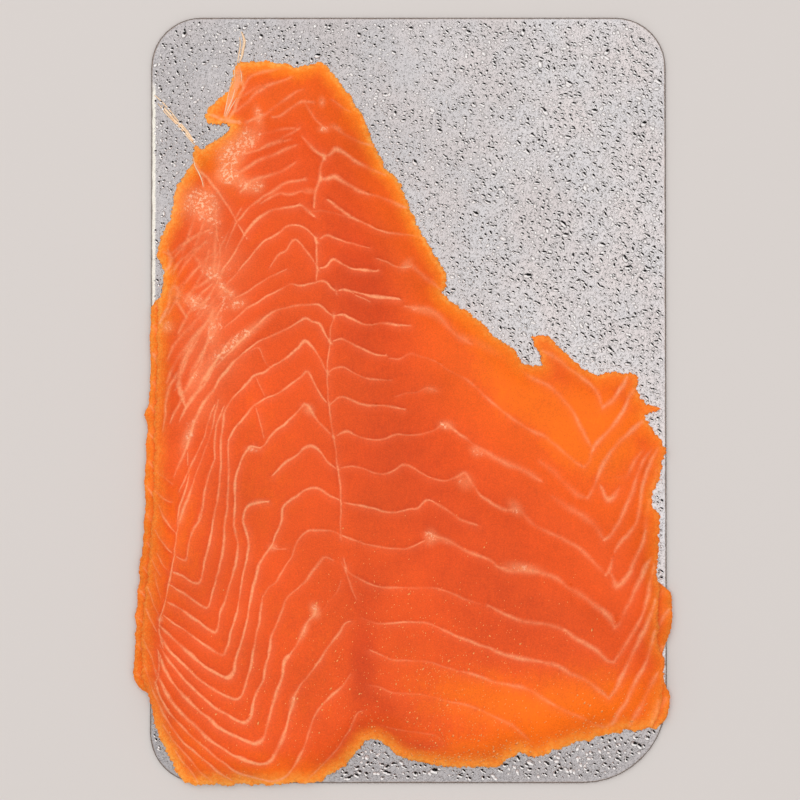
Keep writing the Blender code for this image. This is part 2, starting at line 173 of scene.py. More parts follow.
LEFT_LINES = (
    (0.6, 0.6, (-29.5, 51), (-32, 53.6), (-35, 55), (-38, 55), (-40.5, 53.2), (-43, 51.5), (-46, 50),
     (-48.5, 47), (-51, 44), (-54, 40.5)),
    (0.7, 0.6, (-29, 41.4), (-31, 45), (-34, 49), (-36, 50.5), (-37.6, 49), (-39, 47), (-41.5, 45.5),
     (-43.8, 42)),
    (0.7, 0.6, (-35, 61.5), (-40, 60.4), (-43, 60), (-46, 58.5), (-49, 56), (-51.5, 53), (-54, 48.5),
     (-57, 43.5), (-59.5, 40.5)),
    (0.6, 0.45, (-39, 41), (-42, 39.5), (-45, 38.2), (-48, 36.2), (-51, 34), (-55, 32)),
    (0.7, 0.6, (-23, 34), (-24.6, 35.2), (-26, 37), (-28, 37.3), (-31, 36.5), (-35, 36), (-37, 36.6),
     (-39, 35.5), (-42, 34), (-45, 32.5), (-48, 30.5), (-51, 29), (-53, 27), (-58, 23)),
    (0.8, 0.7, (-24, 26), (-26, 27.7), (-28.5, 29.8), (-32, 29.8), (-36, 29.5), (-40, 28.6),
     (-43, 27.6), (-45, 26), (-49, 22.5), (-54, 17.5), (-59, 12.5), (-62, 9.5), (-65, 4)),
    (0.7, 0.65, (-25.2, 18.5), (-27, 21.8), (-28.6, 23.9), (-30.6, 24.5), (-32.8, 25.7), (-35, 24.3),
     (-38, 22.5), (-42, 20.5), (-47, 18.5), (-50, 16.5), (-53, 14)),
    (1.2, 0.7, (-52, 14.8), (-56, 11), (-58, 8.5), (-60, 6), (-62, 2.5), (-65, -1.5), (-67, -5.4),
     (-68.6, -9.5), (-70.4, -15.4), (-72.4, -20), (-74, -24)),
    (0.8, 0.7, (-25.9, 8.4), (-27, 10.6), (-28.5, 13.5), (-31, 17), (-32.8, 18.3), (-35, 16),
     (-38, 13.5), (-41, 11.5), (-43.6, 10), (-46, 8.3), (-49, 7.2), (-51, 5), (-54, 2)),
    (0.8, 0.6, (-53.4, 2.6), (-56, 0), (-58, -3.4), (-58.9, -8), (-59.5, -13), (-59.4, -20),
     (-59.8, -26), (-60.5, -32), (-62, -39), (-62.8, -45), (-64.5, -51), (-65.4, -56), (-66.6, -58.4),
     (-69, -57.8), (-71.7, -56), (-75, -54.7)),
    (0.5, 0.4, (-48.6, 7.2), (-47.8, 5.6), (-46.6, 3), (-45.4, 0.4)),
    (0.5, 0.4, (-49.6, 15.4), (-47.4, 16), (-46, 13), (-45, 11), (-43.6, 10)),
    (0.8, 0.7, (-25.4, -1.8), (-27.4, 0.6), (-29.5, 4), (-32, 8.6), (-34, 7), (-37, 5), (-40, 2.6),
     (-43, 1), (-45.4, 0), (-48.6, -2), (-50.5, -4), (-53, -7), (-55.5, -9.8), (-57, -13)),
    (0.9, 0.65, (-56.9, -12.5), (-57.2, -17), (-57, -24), (-57.4, -33), (-58.3, -40), (-58.5, -46),
     (-60, -54), (-62, -61), (-62.9, -64.6), (-64.1, -66.3), (-67, -64.4), (-69.4, -62.8), (-72, -61),
     (-75.6, -59)),
    (0.5, 0.4, (-48.6, -2.2), (-47.6, -5.5), (-46.6, -9), (-46, -12)),
    (1.0, 0.7, (-24.2, -11.6), (-27, -9), (-30, -5), (-32, -2), (-33, -1.6), (-35, -4), (-37, -6),
     (-39.5, -8.4), (-42, -10), (-44, -12), (-45, -14), (-47, -15.6)),
    (0.9, 0.65, (-47, -15.6), (-50, -15), (-51, -16), (-52.5, -18.5), (-54, -22), (-55, -27),
     (-55, -33), (-55.3, -39), (-54.8, -43), (-54, -46), (-54.3, -50), (-55.7, -56), (-57.4, -62),
     (-59.4, -67.4), (-60.2, -71.6), (-61.2, -74), (-63.8, -72.4), (-66.3, -70.6), (-68.8, -69),
     (-71.3, -67.2), (-73.8, -65.6), (-77, -64)),
    (1.0, 0.7, (-23, -22), (-26, -19.5), (-28.5, -16), (-31, -14.8), (-33, -15.5), (-35, -17.5),
     (-37.5, -19), (-39.5, -20.6), (-43, -24)),
    (0.9, 0.65, (-45, -32.6), (-48, -33), (-50.5, -33.6), (-52, -36), (-52.4, -39), (-51.4, -42),
     (-50.7, -45.5), (-51, -50), (-52.5, -56), (-53.5, -63), (-54.6, -69), (-56.2, -74), (-57.4, -79),
     (-58.8, -81.1), (-62.5, -79.2), (-65, -77.5), (-68, -75.3), (-71.3, -73), (-74.4, -71),
     (-77.5, -68.8)),
    (1.0, 0.75, (-22, -32), (-25, -30.6), (-27.5, -29), (-30, -28.3), (-33, -29), (-35.5, -31),
     (-38, -32.5), (-40, -35), (-40.2, -39), (-42, -43), (-43, -46)),
    (1.2, 0.7, (-43, -46), (-45, -49), (-47.4, -53), (-48.4, -57), (-49.5, -61), (-50.3, -65),
     (-51, -70), (-52.5, -76), (-54.5, -82), (-55.3, -86.2), (-57, -88.3), (-61.3, -86.6),
     (-64.4, -84.7), (-67.5, -82.2), (-70.6, -79.4), (-73.8, -76.6), (-78.8, -72)),
    (0.5, 0.5, (-43.6, -47.2), (-41.6, -47.6), (-38.8, -47.5)),
    (0.8, 0.6, (-21.8, -43), (-23.6, -42.1), (-27, -41.6), (-30, -41.5), (-32, -42), (-34, -43.4),
     (-35.5, -46), (-37, -50), (-39.5, -54), (-42, -58), (-44.5, -60), (-46.3, -63)),
    (1.0, 0.7, (-46.2, -62.6), (-46.8, -67), (-47.5, -72), (-49, -79), (-50, -85), (-51.8, -91),
     (-53, -94), (-55, -95), (-60, -92.8), (-63.8, -90.6), (-67, -88), (-70, -85), (-73.8, -81.6),
     (-77, -78), (-78.8, -75)),
    (1.2, 0.75, (-24, -51), (-26, -50.2), (-27.6, -51.2), (-30, -54), (-32, -57), (-35, -60)),
    (1.1, 0.75, (-34.8, -59.8), (-37.5, -62), (-39, -64), (-40, -67), (-41.5, -71), (-43.3, -75),
     (-44, -80), (-45.3, -85), (-46, -89), (-48, -93), (-49.2, -97), (-50.2, -100.8), (-52.2, -102.4),
     (-57.5, -99.7), (-61.3, -97.5), (-65, -94.4), (-68.8, -91), (-72.5, -87), (-76.3, -82.5),
     (-78.8, -78)),
    (1.4, 0.6, (-29, -64.6), (-29.8, -68), (-31.5, -70), (-33, -73), (-35, -77), (-37, -80.6)),
    (1.3, 0.75, (-36.8, -80), (-39, -83), (-39.8, -87), (-40.5, -90), (-42, -93), (-43, -97),
     (-44.3, -102), (-45.6, -106.8), (-48.2, -109), (-52.5, -107.7), (-56.3, -106), (-60, -103.8),
     (-63.8, -100.6), (-67.5, -97.5), (-71.3, -93.8), (-75, -89.4), (-77.5, -85), (-79.4, -80)),
    (0.7, 0.35, (-21.5, -58), (-23, -61.5), (-25, -64), (-27, -66.8), (-29, -68.6)),
    (1.0, 0.7, (-18.5, -70.3), (-20, -71), (-22, -74), (-25, -78), (-27, -81), (-29, -84), (-32, -88),
     (-34.4, -90.5)),
    (1.5, 0.75, (-33.8, -90), (-36, -94), (-37, -98), (-38.5, -103), (-40, -108), (-41.8, -111.5),
     (-43.6, -114.4), (-47, -115.8), (-52.5, -114), (-56.3, -112.2), (-60, -109.7), (-63.8, -107),
     (-68, -103), (-72, -99.4), (-75.6, -95), (-78, -90.6), (-80, -86.3)),
    (1.0, 0.75, (-18.6, -87.6), (-21, -91), (-24, -93.5), (-27, -96.5), (-29.5, -100), (-31, -104),
     (-32.5, -109), (-34.6, -113.5), (-37.4, -118), (-39.6, -120.4), (-42.8, -121.6), (-46.3, -121),
     (-50, -120), (-53.8, -118.8), (-58, -115.6), (-62, -112.5), (-65.6, -109.4), (-69.4, -106.3),
     (-73, -102.5), (-76.3, -98.8), (-78.8, -94.4), (-80.6, -90)),
    (0.9, 0.6, (-56.3, -121.3), (-60, -118.8), (-63.8, -115), (-67.5, -112), (-71.3, -108.8),
     (-74.4, -105), (-77.5, -100.6), (-80, -95.6), (-81.3, -92.5)),
    (0.9, 0.55, (-62.5, -122), (-65.6, -118.8), (-68.8, -115), (-71.3, -112), (-74.4, -108.8),
     (-77.5, -104.4)),
    (0.8, 0.5, (-67, -122), (-69.4, -118), (-72, -115), (-73.8, -112)),
    (0.7, 0.5, (-61.4, -19.4), (-62.2, -21), (-63.3, -24.4), (-64.2, -28.3), (-64.7, -31.7),
     (-65.6, -37.8), (-67.8, -41), (-69, -43.3), (-69.7, -48.3), (-70.6, -51.2), (-73.4, -50)),
    (0.9, 0.55, (-15, -99), (-16.5, -100), (-18, -103.5), (-20, -107), (-23, -111.5), (-27, -116),
     (-31, -120), (-33, -122)),
)
# Fine lines that fan out at the left rim.
LEFT_RIM_LINES = (
    (0.7, 0.45, (-81.7, -21.7), (-79.4, -24), (-77.2, -25.3), (-75.3, -26.7)),
    (0.7, 0.45, (-82.8, -27.2), (-80, -30), (-77.8, -31.7), (-75.6, -32.8)),
    (0.7, 0.45, (-79.4, -34.4), (-78, -37.2), (-76, -40), (-73.9, -42.5)),
    (0.7, 0.45, (-80.6, -41.7), (-79, -44.4), (-76.7, -47.2), (-74.4, -49.2)),
    (0.7, 0.45, (-80, -49), (-78.3, -52.2), (-76.7, -54)),
    (0.7, 0.4, (-82.2, -50), (-80.6, -53.3), (-79, -56)),
    (0.6, 0.4, (-83.3, -28), (-82.8, -35.6), (-82.2, -41)),
    (0.6, 0.45, (-82.8, -45.6), (-83.3, -50), (-84.2, -54.4), (-84.4, -59)),
    (0.6, 0.45, (-84.4, -56.3), (-83, -60), (-81.3, -64.4), (-79.7, -68)),
    (0.7, 0.45, (-85.6, -63), (-83.8, -66.3), (-82, -70), (-80, -73.8)),
    (0.6, 0.4, (-81.3, -55), (-80, -58.8), (-78.8, -63)),
    (0.6, 0.4, (-84.6, -76), (-82.6, -80), (-81, -84), (-80, -88)),
    (0.6, 0.4, (-84.4, -84), (-83, -88), (-81.6, -92)),
    (0.6, 0.4, (-79.4, -80), (-79, -84), (-79.6, -88), (-80.6, -92)),
)
# Upper left, where the flakes are fine and broken.
UPPER_LINES = (
    (2.6, 0.36, (-68, 45.3), (-64.2, 40.8), (-61, 38.9), (-59, 35.7), (-55.8, 33.1)),
    (2.2, 0.34, (-61, 54.2), (-61.3, 47.8), (-61.6, 39.5)),
    (2.2, 0.3, (-62.4, 28), (-62.9, 22.9), (-62.2, 18.4)),
    (0.6, 0.6, (-78, 47), (-76.2, 46), (-76, 44), (-76.6, 42), (-78.3, 40.8)),
    (1.05, 0.62, (-69.3, 15.2), (-71.2, 10.4), (-72.6, 5.6), (-72.4, 2.5), (-70.6, -2.6)),
    (1.2, 0.65, (-70.6, -2.6), (-68, 1.1), (-63.5, 8.2), (-60.3, 13.3)),
    (0.7, 0.42, (-66, 53), (-70, 50), (-75, 45)),
    (0.7, 0.42, (-64.5, 50), (-69, 45), (-73.5, 39), (-76, 34)),
    (0.7, 0.42, (-66.5, 42), (-70, 38), (-74, 31.5), (-76.5, 27)),
    (0.7, 0.42, (-62.5, 36.5), (-66, 33), (-70, 27), (-73, 21)),
    (0.8, 0.42, (-58.5, 41), (-61, 36.5), (-64.5, 31), (-67, 27)),
    (0.8, 0.42, (-57, 33), (-61, 28.5), (-65.5, 22), (-69, 16)),
    (0.8, 0.42, (-59.5, 24), (-63, 19), (-66.5, 13), (-69.5, 7.5)),
    (0.7, 0.45, (-34, 99), (-36.5, 98), (-39, 96), (-42, 94), (-45, 91.5), (-48, 90), (-51, 88.6)),
    (0.7, 0.4, (-38, 103), (-40, 102), (-43, 101), (-46, 99.5), (-49, 97.6), (-52, 94.5), (-55, 92)),
    (0.6, 0.45, (-31, 95), (-34, 95), (-37, 93.5), (-39, 92), (-41, 90.4), (-43, 90)),
    (0.5, 0.35, (-33, 95), (-31.5, 92), (-29.6, 89), (-27, 86.4)),
    (0.7, 0.3, (-36, 86.2), (-41, 86), (-44, 85), (-47, 84.4)),
    (0.9, 0.4, (-36, 80.5), (-40, 79), (-43, 77.5), (-46, 76.4), (-49, 75), (-52, 73), (-55, 71.5)),
    (0.7, 0.45, (-36, 75), (-39, 73), (-42, 71.5), (-46, 70.5), (-50, 69), (-53, 66)),
    (0.7, 0.4, (-33.5, 69.6), (-37, 69), (-40, 68), (-43, 66), (-46, 64), (-49, 62), (-51.5, 60)),
    (0.6, 0.4, (-51, 60.5), (-53, 58), (-55, 55.5), (-56.5, 52), (-58, 48)),
    (0.8, 0.8, (-69, 77), (-67.6, 74), (-66, 71), (-65.4, 68.4)),
    (0.4, 0.55, (-66, 72.5), (-63, 69), (-60, 65), (-58, 62), (-56, 59), (-54, 55), (-51.6, 51)),
    (0.6, 0.4, (-61, 62), (-61.2, 57), (-60.6, 52), (-60, 48), (-60, 44), (-61, 39)),
    (0.8, 0.5, (-79.4, 24.4), (-77.8, 27), (-76.5, 30), (-76, 34), (-74.5, 36), (-73.4, 34),
     (-73.5, 31), (-72, 28.6), (-70.6, 26)),
    (0.6, 0.45, (-79, 41), (-77, 42.2), (-75.8, 44.4), (-76.6, 47.4)),
    (1.3, 0.5, (-66, 20.6), (-68.8, 17.4), (-70.8, 13.4), (-72.2, 9.5), (-72.8, 3)),
    (0.8, 0.45, (-72, 10), (-74, 7), (-76, 4), (-77, 0), (-77.4, -5), (-78.3, -9.8)),
    (0.9, 0.45, (-63, 20), (-64.5, 16), (-66, 11), (-69, 6), (-71, 2), (-73, -2), (-75.6, -7)),
    (0.9, 0.5, (-56, 19.5), (-58.4, 16), (-61, 11.6), (-64, 5.5), (-67, 2), (-70, -2), (-72.6, -7)),
    (0.7, 0.45, (-60.4, -0.5), (-61.6, -6), (-62.4, -10), (-64.4, -16), (-66.6, -22), (-68.4, -27)),
    (1.1, 0.5, (-68, -26.5), (-69.6, -31), (-71.6, -36), (-73, -42)),
    (0.7, 0.45, (-61.4, -2), (-63.4, -7), (-64.6, -12), (-67, -17), (-69.6, -22.4), (-72.4, -29)),
    (0.9, 0.5, (-58.8, -3), (-61, -9), (-61.5, -15), (-61.6, -20), (-63.4, -24), (-64.6, -30),
     (-66, -37), (-68, -41), (-69.5, -45), (-70.2, -50)),
    (0.5, 0.6, (-70, -16), (-70, -20), (-69.5, -24), (-70.6, -29), (-72.6, -34), (-73.3, -39),
     (-73.6, -44), (-74.2, -49.6), (-75.2, -55), (-76.2, -60), (-77.6, -66), (-79, -70)),
    (0.8, 0.6, (-79, -70), (-78.9, -74), (-77.6, -79)),
    (0.7, 0.35, (-54, 40), (-58, 36), (-62, 31), (-65.6, 25)),
    (0.9, 0.3, (-60, 38), (-63, 33), (-66, 27), (-69, 22)),
    (1.6, 0.7, (-33.6, 61.2), (-31.8, 59.6), (-30, 58)),
    (1.4, 0.95, (-54.8, 106.6), (-54.8, 103.5), (-55.4, 100.3), (-56.6, 97.1), (-57.5, 93.9),
     (-58.4, 90.9)),
    (0.6, 0.85, (-52.6, 99.7), (-54.6, 95.8), (-55.8, 92.6), (-57.4, 90.1)),
    (0.6, 0.8, (-54.2, 106.4), (-53.7, 103.5), (-53.1, 99.7)),
    (0.9, 0.8, (-62.8, 91), (-61.4, 90.4), (-59.7, 89.6), (-57.1, 89), (-54.6, 88.6)),
    (0.7, 0.4, (-52.6, 100.3), (-50.7, 103), (-48, 104.5), (-44.5, 105.2), (-41, 106)),
    (0.6, 0.3, (-55.2, 95.2), (-52, 97.6), (-48.2, 99.6), (-45, 101)),
    (0.6, 0.35, (-46.9, 80), (-42, 82), (-38, 84.3), (-35, 86)),
    (0.6, 0.35, (-52, 78), (-47, 79.4), (-42.5, 81), (-38, 82.6)),
    (0.7, 0.4, (-46.9, 62), (-44.3, 63.8), (-41, 65), (-38, 64.8), (-34, 65.8)),
    (0.8, 0.5, (-33.6, 83), (-31, 80.4), (-28.6, 78.2), (-27, 77.2)),
    (0.6, 0.4, (-53.3, 60), (-55.8, 55.5), (-57.8, 51.7), (-60, 47.2), (-62.2, 42.7), (-64, 38)),
    (0.7, 0.35, (-63.5, 53.6), (-68, 51.4), (-72.5, 48.8), (-75.4, 46.6)),
    (0.7, 0.35, (-64, 49.5), (-69, 46.6), (-73, 43.4), (-76, 40.6)),
    (0.7, 0.35, (-62, 46), (-66, 43), (-70, 39), (-73, 35.6)),
    (0.8, 0.4, (-61.6, 39), (-65, 36.6), (-68, 34.6), (-70.4, 33)),
    (0.8, 0.4, (-61.2, 36), (-63, 33), (-66, 29.6), (-69, 27.6)),
    (0.8, 0.45, (-63.4, 28.6), (-67.5, 24.8), (-71.5, 20.8), (-74.5, 17), (-76.3, 13.3)),
    (0.8, 0.45, (-63, 26), (-66, 22.2), (-69.5, 18), (-73, 13.3), (-75.4, 9), (-77, 5)),
    (0.7, 0.4, (-66.8, 19), (-70, 13.5), (-72.3, 8.5), (-74, 3)),
    (0.6, 0.4, (-58.6, 30), (-61, 26), (-63, 21), (-64.6, 16), (-67.6, 10)),
    (0.8, 0.3, (-63.4, 47), (-65, 41), (-67.6, 36), (-71, 31)),
    (0.7, 0.3, (-68, 58), (-70, 52), (-72, 46), (-75, 40)),
    (0.7, 0.3, (-64, 60), (-66, 53), (-68.6, 47), (-72, 42)),
)
# Where the fat lines meet the back line.
BACK_NODES = (
    (-27, 77), (-28, 70), (-29.3, 50.2), (-28.8, 41.4), (-23, 34), (-23.7, 26), (-24.9, 18.2),
    (-25.7, 8.4), (-25.2, -2), (-23.7, -12), (-22.5, -22), (-21.5, -32.6), (-21.5, -43.6), (-20, -54),
)
LINE_WIDTH = 0.78  # how much of a line's stated width is clear fat
LINE_STEP = 0.9 * MM  # distance between the points along a line
BELLY_START = 4 * MM  # from here towards the right the lines grow broad and soft
BELLY_RUN = 40 * MM  # and over this distance they reach their full breadth
RIM_REACH = 6 * MM  # how far inwards the rim's thinness shows
FULL_LIFT = 6 * MM  # height above the board past which no light comes through from the foil
RELIEF_FADE = 3 * MM  # how near the rim and the fat lines the flesh lies lower and smoother
SMOOTHING_ROUNDS = 16  # how often a slice's upper side is evened out
UNDERSIDE_STEP = 6 * MM  # distance between the points of a slice's hidden underside
UNDER_STEP = 3.4 * MM  # the same for the upper side of the two lower slices
UNDER_FRINGE = 0.25 * MM  # how far their rims are frayed
UNDER_SPACING = 9.0  # millimetres between their fat lines

# Cloudy patches of fat: middle, half width, half height, tilt in degrees and strength.
CLOUDS = (
    (-52, 83, 6, 4.5, 30, 0.75), (-57, 77, 4.5, 4, 20, 0.85), (-58, 71, 3.5, 2.5, 0, 0.85),
    (-52, 68, 4, 2.5, -30, 0.6), (-47.5, 68, 2.5, 3, 0, 0.5), (-66, 63, 5, 4.5, 20, 0.75),
    (-62, 58, 3, 6, 0, 0.3), (-48, 91, 1.6, 3.5, 15, 0.6), (-68, 31, 3.0, 2.0, -15, 0.6),
    (-54, 30, 3.2, 1.7, 15, 0.4), (-51.5, 20.5, 11, 1.6, 38, 0.55), (-77, 23, 2.2, 2, 0, 0.6),
    (-62, 40, 3, 3, 0, 0.45), (-62, 24, 2.4, 7, 0, 0.35), (-58, 34, 3.5, 2, -30, 0.4),
    (-27.6, 95, 1.2, 2, 0, 0.7), (-27, 86, 2.2, 1.2, 0, 0.7), (-22.6, 86.4, 2.6, 0.9, -40, 0.6),
    (-31.6, 66, 2.2, 1, 0, 0.6), (-0.6, 43, 3, 1.6, 40, 0.55), (4, 28.4, 5, 1.6, -10, 0.45),
    (10, 25.6, 6, 1.8, -35, 0.3), (24, 17, 9, 2, -30, 0.3), (7, 3, 3, 1.4, 0, 0.4),
    (12, -8.4, 3, 1.8, -10, 0.6), (21.4, -16.6, 2, 2.4, 20, 0.45), (18, -26.4, 3.6, 3, -40, 0.5),
    (32, -20.6, 12, 1.5, -22, 0.35), (34, -34.6, 3.6, 2.2, -50, 0.55), (7, -43.8, 2.2, 3, 0, 0.6),
    (12, -45, 4, 1.4, -20, 0.4), (36, -53.6, 6.5, 2, -8, 0.65), (-31.6, -3.4, 2.2, 2, -30, 0.55),
    (-29.6, -67, 1.6, 2.8, 20, 0.8), (-33, -73.5, 1.3, 4, -25, 0.6), (-36.6, -96, 1.2, 3, -10, 0.6),
    (-41.8, -93.5, 1.2, 2.6, -20, 0.4), (-49.6, -16, 2.6, 1.2, 0, 0.5),
    (-47.5, -32.5, 3, 0.8, 10, 0.5), (-43, -47, 1.6, 1.4, 0, 0.6), (-70, -12, 1.4, 4.5, -20, 0.6),
    (-72, -37, 1.5, 4, -15, 0.4), (-68, 5, 2, 7, -35, 0.3), (-74, 33, 3, 3, 0, 0.3),
    (-72, 64, 6, 9, 15, 0.3), (-79, 60, 4, 14, 8, 0.2), (-66, 84, 8, 6, 0, 0.22),
    (-74, -16, 7, 14, 0, 0.18), (10, -110, 22, 4, 0, 0.16), (-60, 45, 12, 7, -15, 0.33),
    (-60, 30, 12, 9, 10, 0.24), (-58, 13, 10, 12, 25, 0.26), (-64, -4, 7, 7, 0, 0.24),
    (-70, 16, 7, 14, 20, 0.2), (-64, 56, 7, 8, 10, 0.18), (-56, 68, 7, 9, 0, 0.12),
    (-78.6, -69.8, 1.1, 1, 0, 0.9),
)
# Where the flesh is deeper red (a positive strength) or more golden (a negative one).
TINTS = (
    (-15, 38, 13, 30, 12, 1.0), (-14, 70, 8, 10, 20, 0.3), (-6, -12, 22, 22, 0, 0.5),
    (12, -45, 40, 18, -35, 0.45), (-14, -82, 4.5, 16, 0, 0.8), (-7, -97, 6, 6, 0, 0.7),
    (4, -110, 6, 2, 0, 0.9), (-14, -58, 10, 12, 0, 0.5), (8, -110, 14, 3.5, 5, -0.2),
    (30, -72, 26, 16, -20, 0.3), (-46, 22, 10, 18, 30, 0.1), (44, -4, 26, 13, -32, -1.0),
    (18, 28, 22, 9, -40, -0.8), (62, -10, 14, 15, 0, -0.9), (60, -98, 26, 12, 12, -0.85),
    (-78, 36, 6, 14, 0, -0.8), (-66, 82, 12, 14, 0, -0.9), (-42, 104, 16, 7, 0, -0.6),
    (-18, 92, 6, 14, -30, -0.6), (22, -94, 30, 12, 0, -0.75), (16, -112, 26, 4, 5, -0.6),
    (80, -68, 4, 12, 0, 0.9), (-16, -92, 7, 26, 0, 0.4), (-34, -112, 14, 8, 0, 0.2),
    (-56, -25, 16, 20, 0, -0.14), (-71, -42, 5, 24, 0, -0.3), (32, -36, 24, 20, -30, 0.2),
    (-80, -60, 5, 30, 0, -0.4), (-72, -108, 6, 14, 30, -0.5), (-40, -119, 26, 6, 0, -0.7),
)


# ---------------------------------------------------------------- settings


def colour_setting(name, description, colour):
    return FloatVectorProperty(
        name=name, description=description, default=colour, subtype="COLOR", size=3
    )


def length_setting(name, description, length, least=0.0):
    return FloatProperty(
        name=name, description=description, default=length, min=least, unit="LENGTH"
    )


class FleshSettings(bpy.types.PropertyGroup):
    """Colours and relief of the salmon."""

    main_colour: colour_setting("Flesh", "Colour of the flesh", (0.80, 0.0895, 0.0125))
    deep_colour: colour_setting(
        "Deep flesh", "Colour where the flesh is densest", (0.63, 0.059, 0.010)
    )
    gold_colour: colour_setting(
        "Golden flesh", "Colour where light comes through from the foil", (0.95, 0.155, 0.006)
    )
    rim_colour: colour_setting("Rim", "Colour of the thin rim", (0.98, 0.40, 0.075))
    thin_colour: colour_setting(
        "Thin flesh", "Colour of the thin band inside the rim", (0.98, 0.215, 0.013)
    )
    glow_colour: colour_setting(
        "Fat glow", "Colour of flesh with fat just under it", (0.89, 0.158, 0.060)
    )
    fat_colour: colour_setting("Fat", "Colour of the fat lines", (0.98, 0.37, 0.17))
    cloud_colour: colour_setting("Cloudy fat", "Colour of the grainy patches", (1.0, 0.52, 0.31))
    roughness: FloatProperty(
        name="Roughness", description="How dull the moist surface is", default=0.30,
        min=0, max=1, subtype="FACTOR",
    )
    mesh_step: length_setting(
        "Mesh step", "Distance between the slice's points", 1.2 * MM, 0.5 * MM
    )
    fringe: length_setting("Fringe", "How far the rim is frayed", 0.62 * MM)
    line_height: length_setting("Fat line height", "How far fat lines stand out", 0.07 * MM)
    flake_height: length_setting(
        "Flake height", "How far flakes swell between fat lines", 0.16 * MM
    )


class BoardSettings(bpy.types.PropertyGroup):
    """The foil-faced card."""

    foil_colour: colour_setting("Foil", "Colour of the foil", (0.415, 0.381, 0.378))
    foil_cool: colour_setting(
        "Cool foil", "Colour of the foil's bluish clouds", (0.398, 0.385, 0.392)
    )
    # Painted shade: the colour that the foil takes towards its left and lower parts.
    painted_foil_shade: colour_setting(
        "Foil shade", "Colour of the foil's cooler parts", (0.225, 0.212, 0.216)
    )
    card_colour: colour_setting("Card edge", "Colour of the cut edge", (0.16, 0.12, 0.10))
    liner_colour: colour_setting(
        "Paper edge", "Colour of the bare paper strip on the left", (0.85, 0.81, 0.72)
    )


class MoistureSettings(bpy.types.PropertyGroup):
    """Condensation on the foil and on the fish."""

    drop_step: length_setting(
        "Drop spacing", "Distance between larger drops on the foil", 1.8 * MM, 0.5 * MM
    )
    mist_step: length_setting(
        "Mist spacing", "Distance between fine drops on the foil", 1.0 * MM, 0.5 * MM
    )
    seed: IntProperty(name="Seed", description="Seed of the drops' places", default=7)


class StageSettings(bpy.types.PropertyGroup):
    """Floor, light and camera."""

    floor_colour: colour_setting("Floor", "Colour of the floor", (0.66, 0.62, 0.60))
    camera_distance: length_setting("Camera distance", "From the board to the camera", 0.9)
    camera_tilt: FloatProperty(
        name="Camera tilt", description="How far the camera leans towards the wide end",
        default=math.radians(1.2), subtype="ANGLE",
    )
    field_width: length_setting("Field width", "Width seen at the board", 0.256)


# ---------------------------------------------------------------- shader helpers


class Nodes:
    """A short way to build a node tree: each call adds one node, links it and returns its output."""

    def __init__(self, tree):
        self.tree = tree

    def add(self, kind, inputs=None, output=0, **options):
        node = self.tree.nodes.new(kind)
        for name, value in options.items():
            setattr(node, name, value)
        for name, value in (inputs or {}).items():
            if isinstance(value, bpy.types.NodeSocket):
                self.tree.links.new(value, node.inputs[name])
            else:
                node.inputs[name].default_value = value
        return node.outputs[output]

    def math(self, operation, a, b=0.0, clamp=False):
        return self.add("ShaderNodeMath", {0: a, 1: b}, operation=operation, use_clamp=clamp)

    def times(self, a, b, clamp=False):
        return self.math("MULTIPLY", a, b, clamp)

    def plus(self, a, b):
        return self.math("ADD", a, b)

    def minus(self, a, b, clamp=False):
        return self.math("SUBTRACT", a, b, clamp)

    def mix(self, share, a, b):
        node = self.tree.nodes.new("ShaderNodeMix")
        node.data_type = "RGBA"
        for index, value in ((0, share), (6, a), (7, b)):
            if isinstance(value, bpy.types.NodeSocket):
                self.tree.links.new(value, node.inputs[index])
            else:
                node.inputs[index].default_value = value
        return node.outputs[2]

    def ramp(self, value, low, high, bottom=0.0, top=1.0):
        return self.add(
            "ShaderNodeMapRange",
            {"Value": value, "From Min": low, "From Max": high, "To Min": bottom, "To Max": top},
            interpolation_type="SMOOTHSTEP",
        )

    def noise(self, vector, scale, detail=2.0, roughness=0.5):
        return self.add(
            "ShaderNodeTexNoise",
            {"Vector": vector, "Scale": scale, "Detail": detail, "Roughness": roughness},
        )

    def swing(self, vector, scale, detail=2.0, roughness=0.5):
        """Noise that varies about zero."""
        return self.minus(self.noise(vector, scale, detail, roughness), 0.5)

    def attribute(self, name):
        return self.add("ShaderNodeAttribute", output=2, attribute_name=name)

    def object_coords(self):
        return self.add("ShaderNodeTexCoord", output=3)


def new_material(name):
    material = bpy.data.materials.new(name)
    material.use_nodes = True
    tree = material.node_tree
    return material, Nodes(tree), tree.nodes["Principled BSDF"]


def colour4(colour):
    return (*colour, 1.0)


def new_group(name, inputs, outputs):
    """An empty shader group with its sockets; returns it, its maker, its inputs and its end node."""
    group = bpy.data.node_groups.new(name, "ShaderNodeTree")
    for socket, kind, value in inputs:
        made = group.interface.new_socket(name=socket, in_out="INPUT", socket_type=kind)
        if value is not None:
            made.default_value = value
    for socket, kind in outputs:
        group.interface.new_socket(name=socket, in_out="OUTPUT", socket_type=kind)
    start = group.nodes.new("NodeGroupInput")
    end = group.nodes.new("NodeGroupOutput")
    return group, Nodes(group), start, end


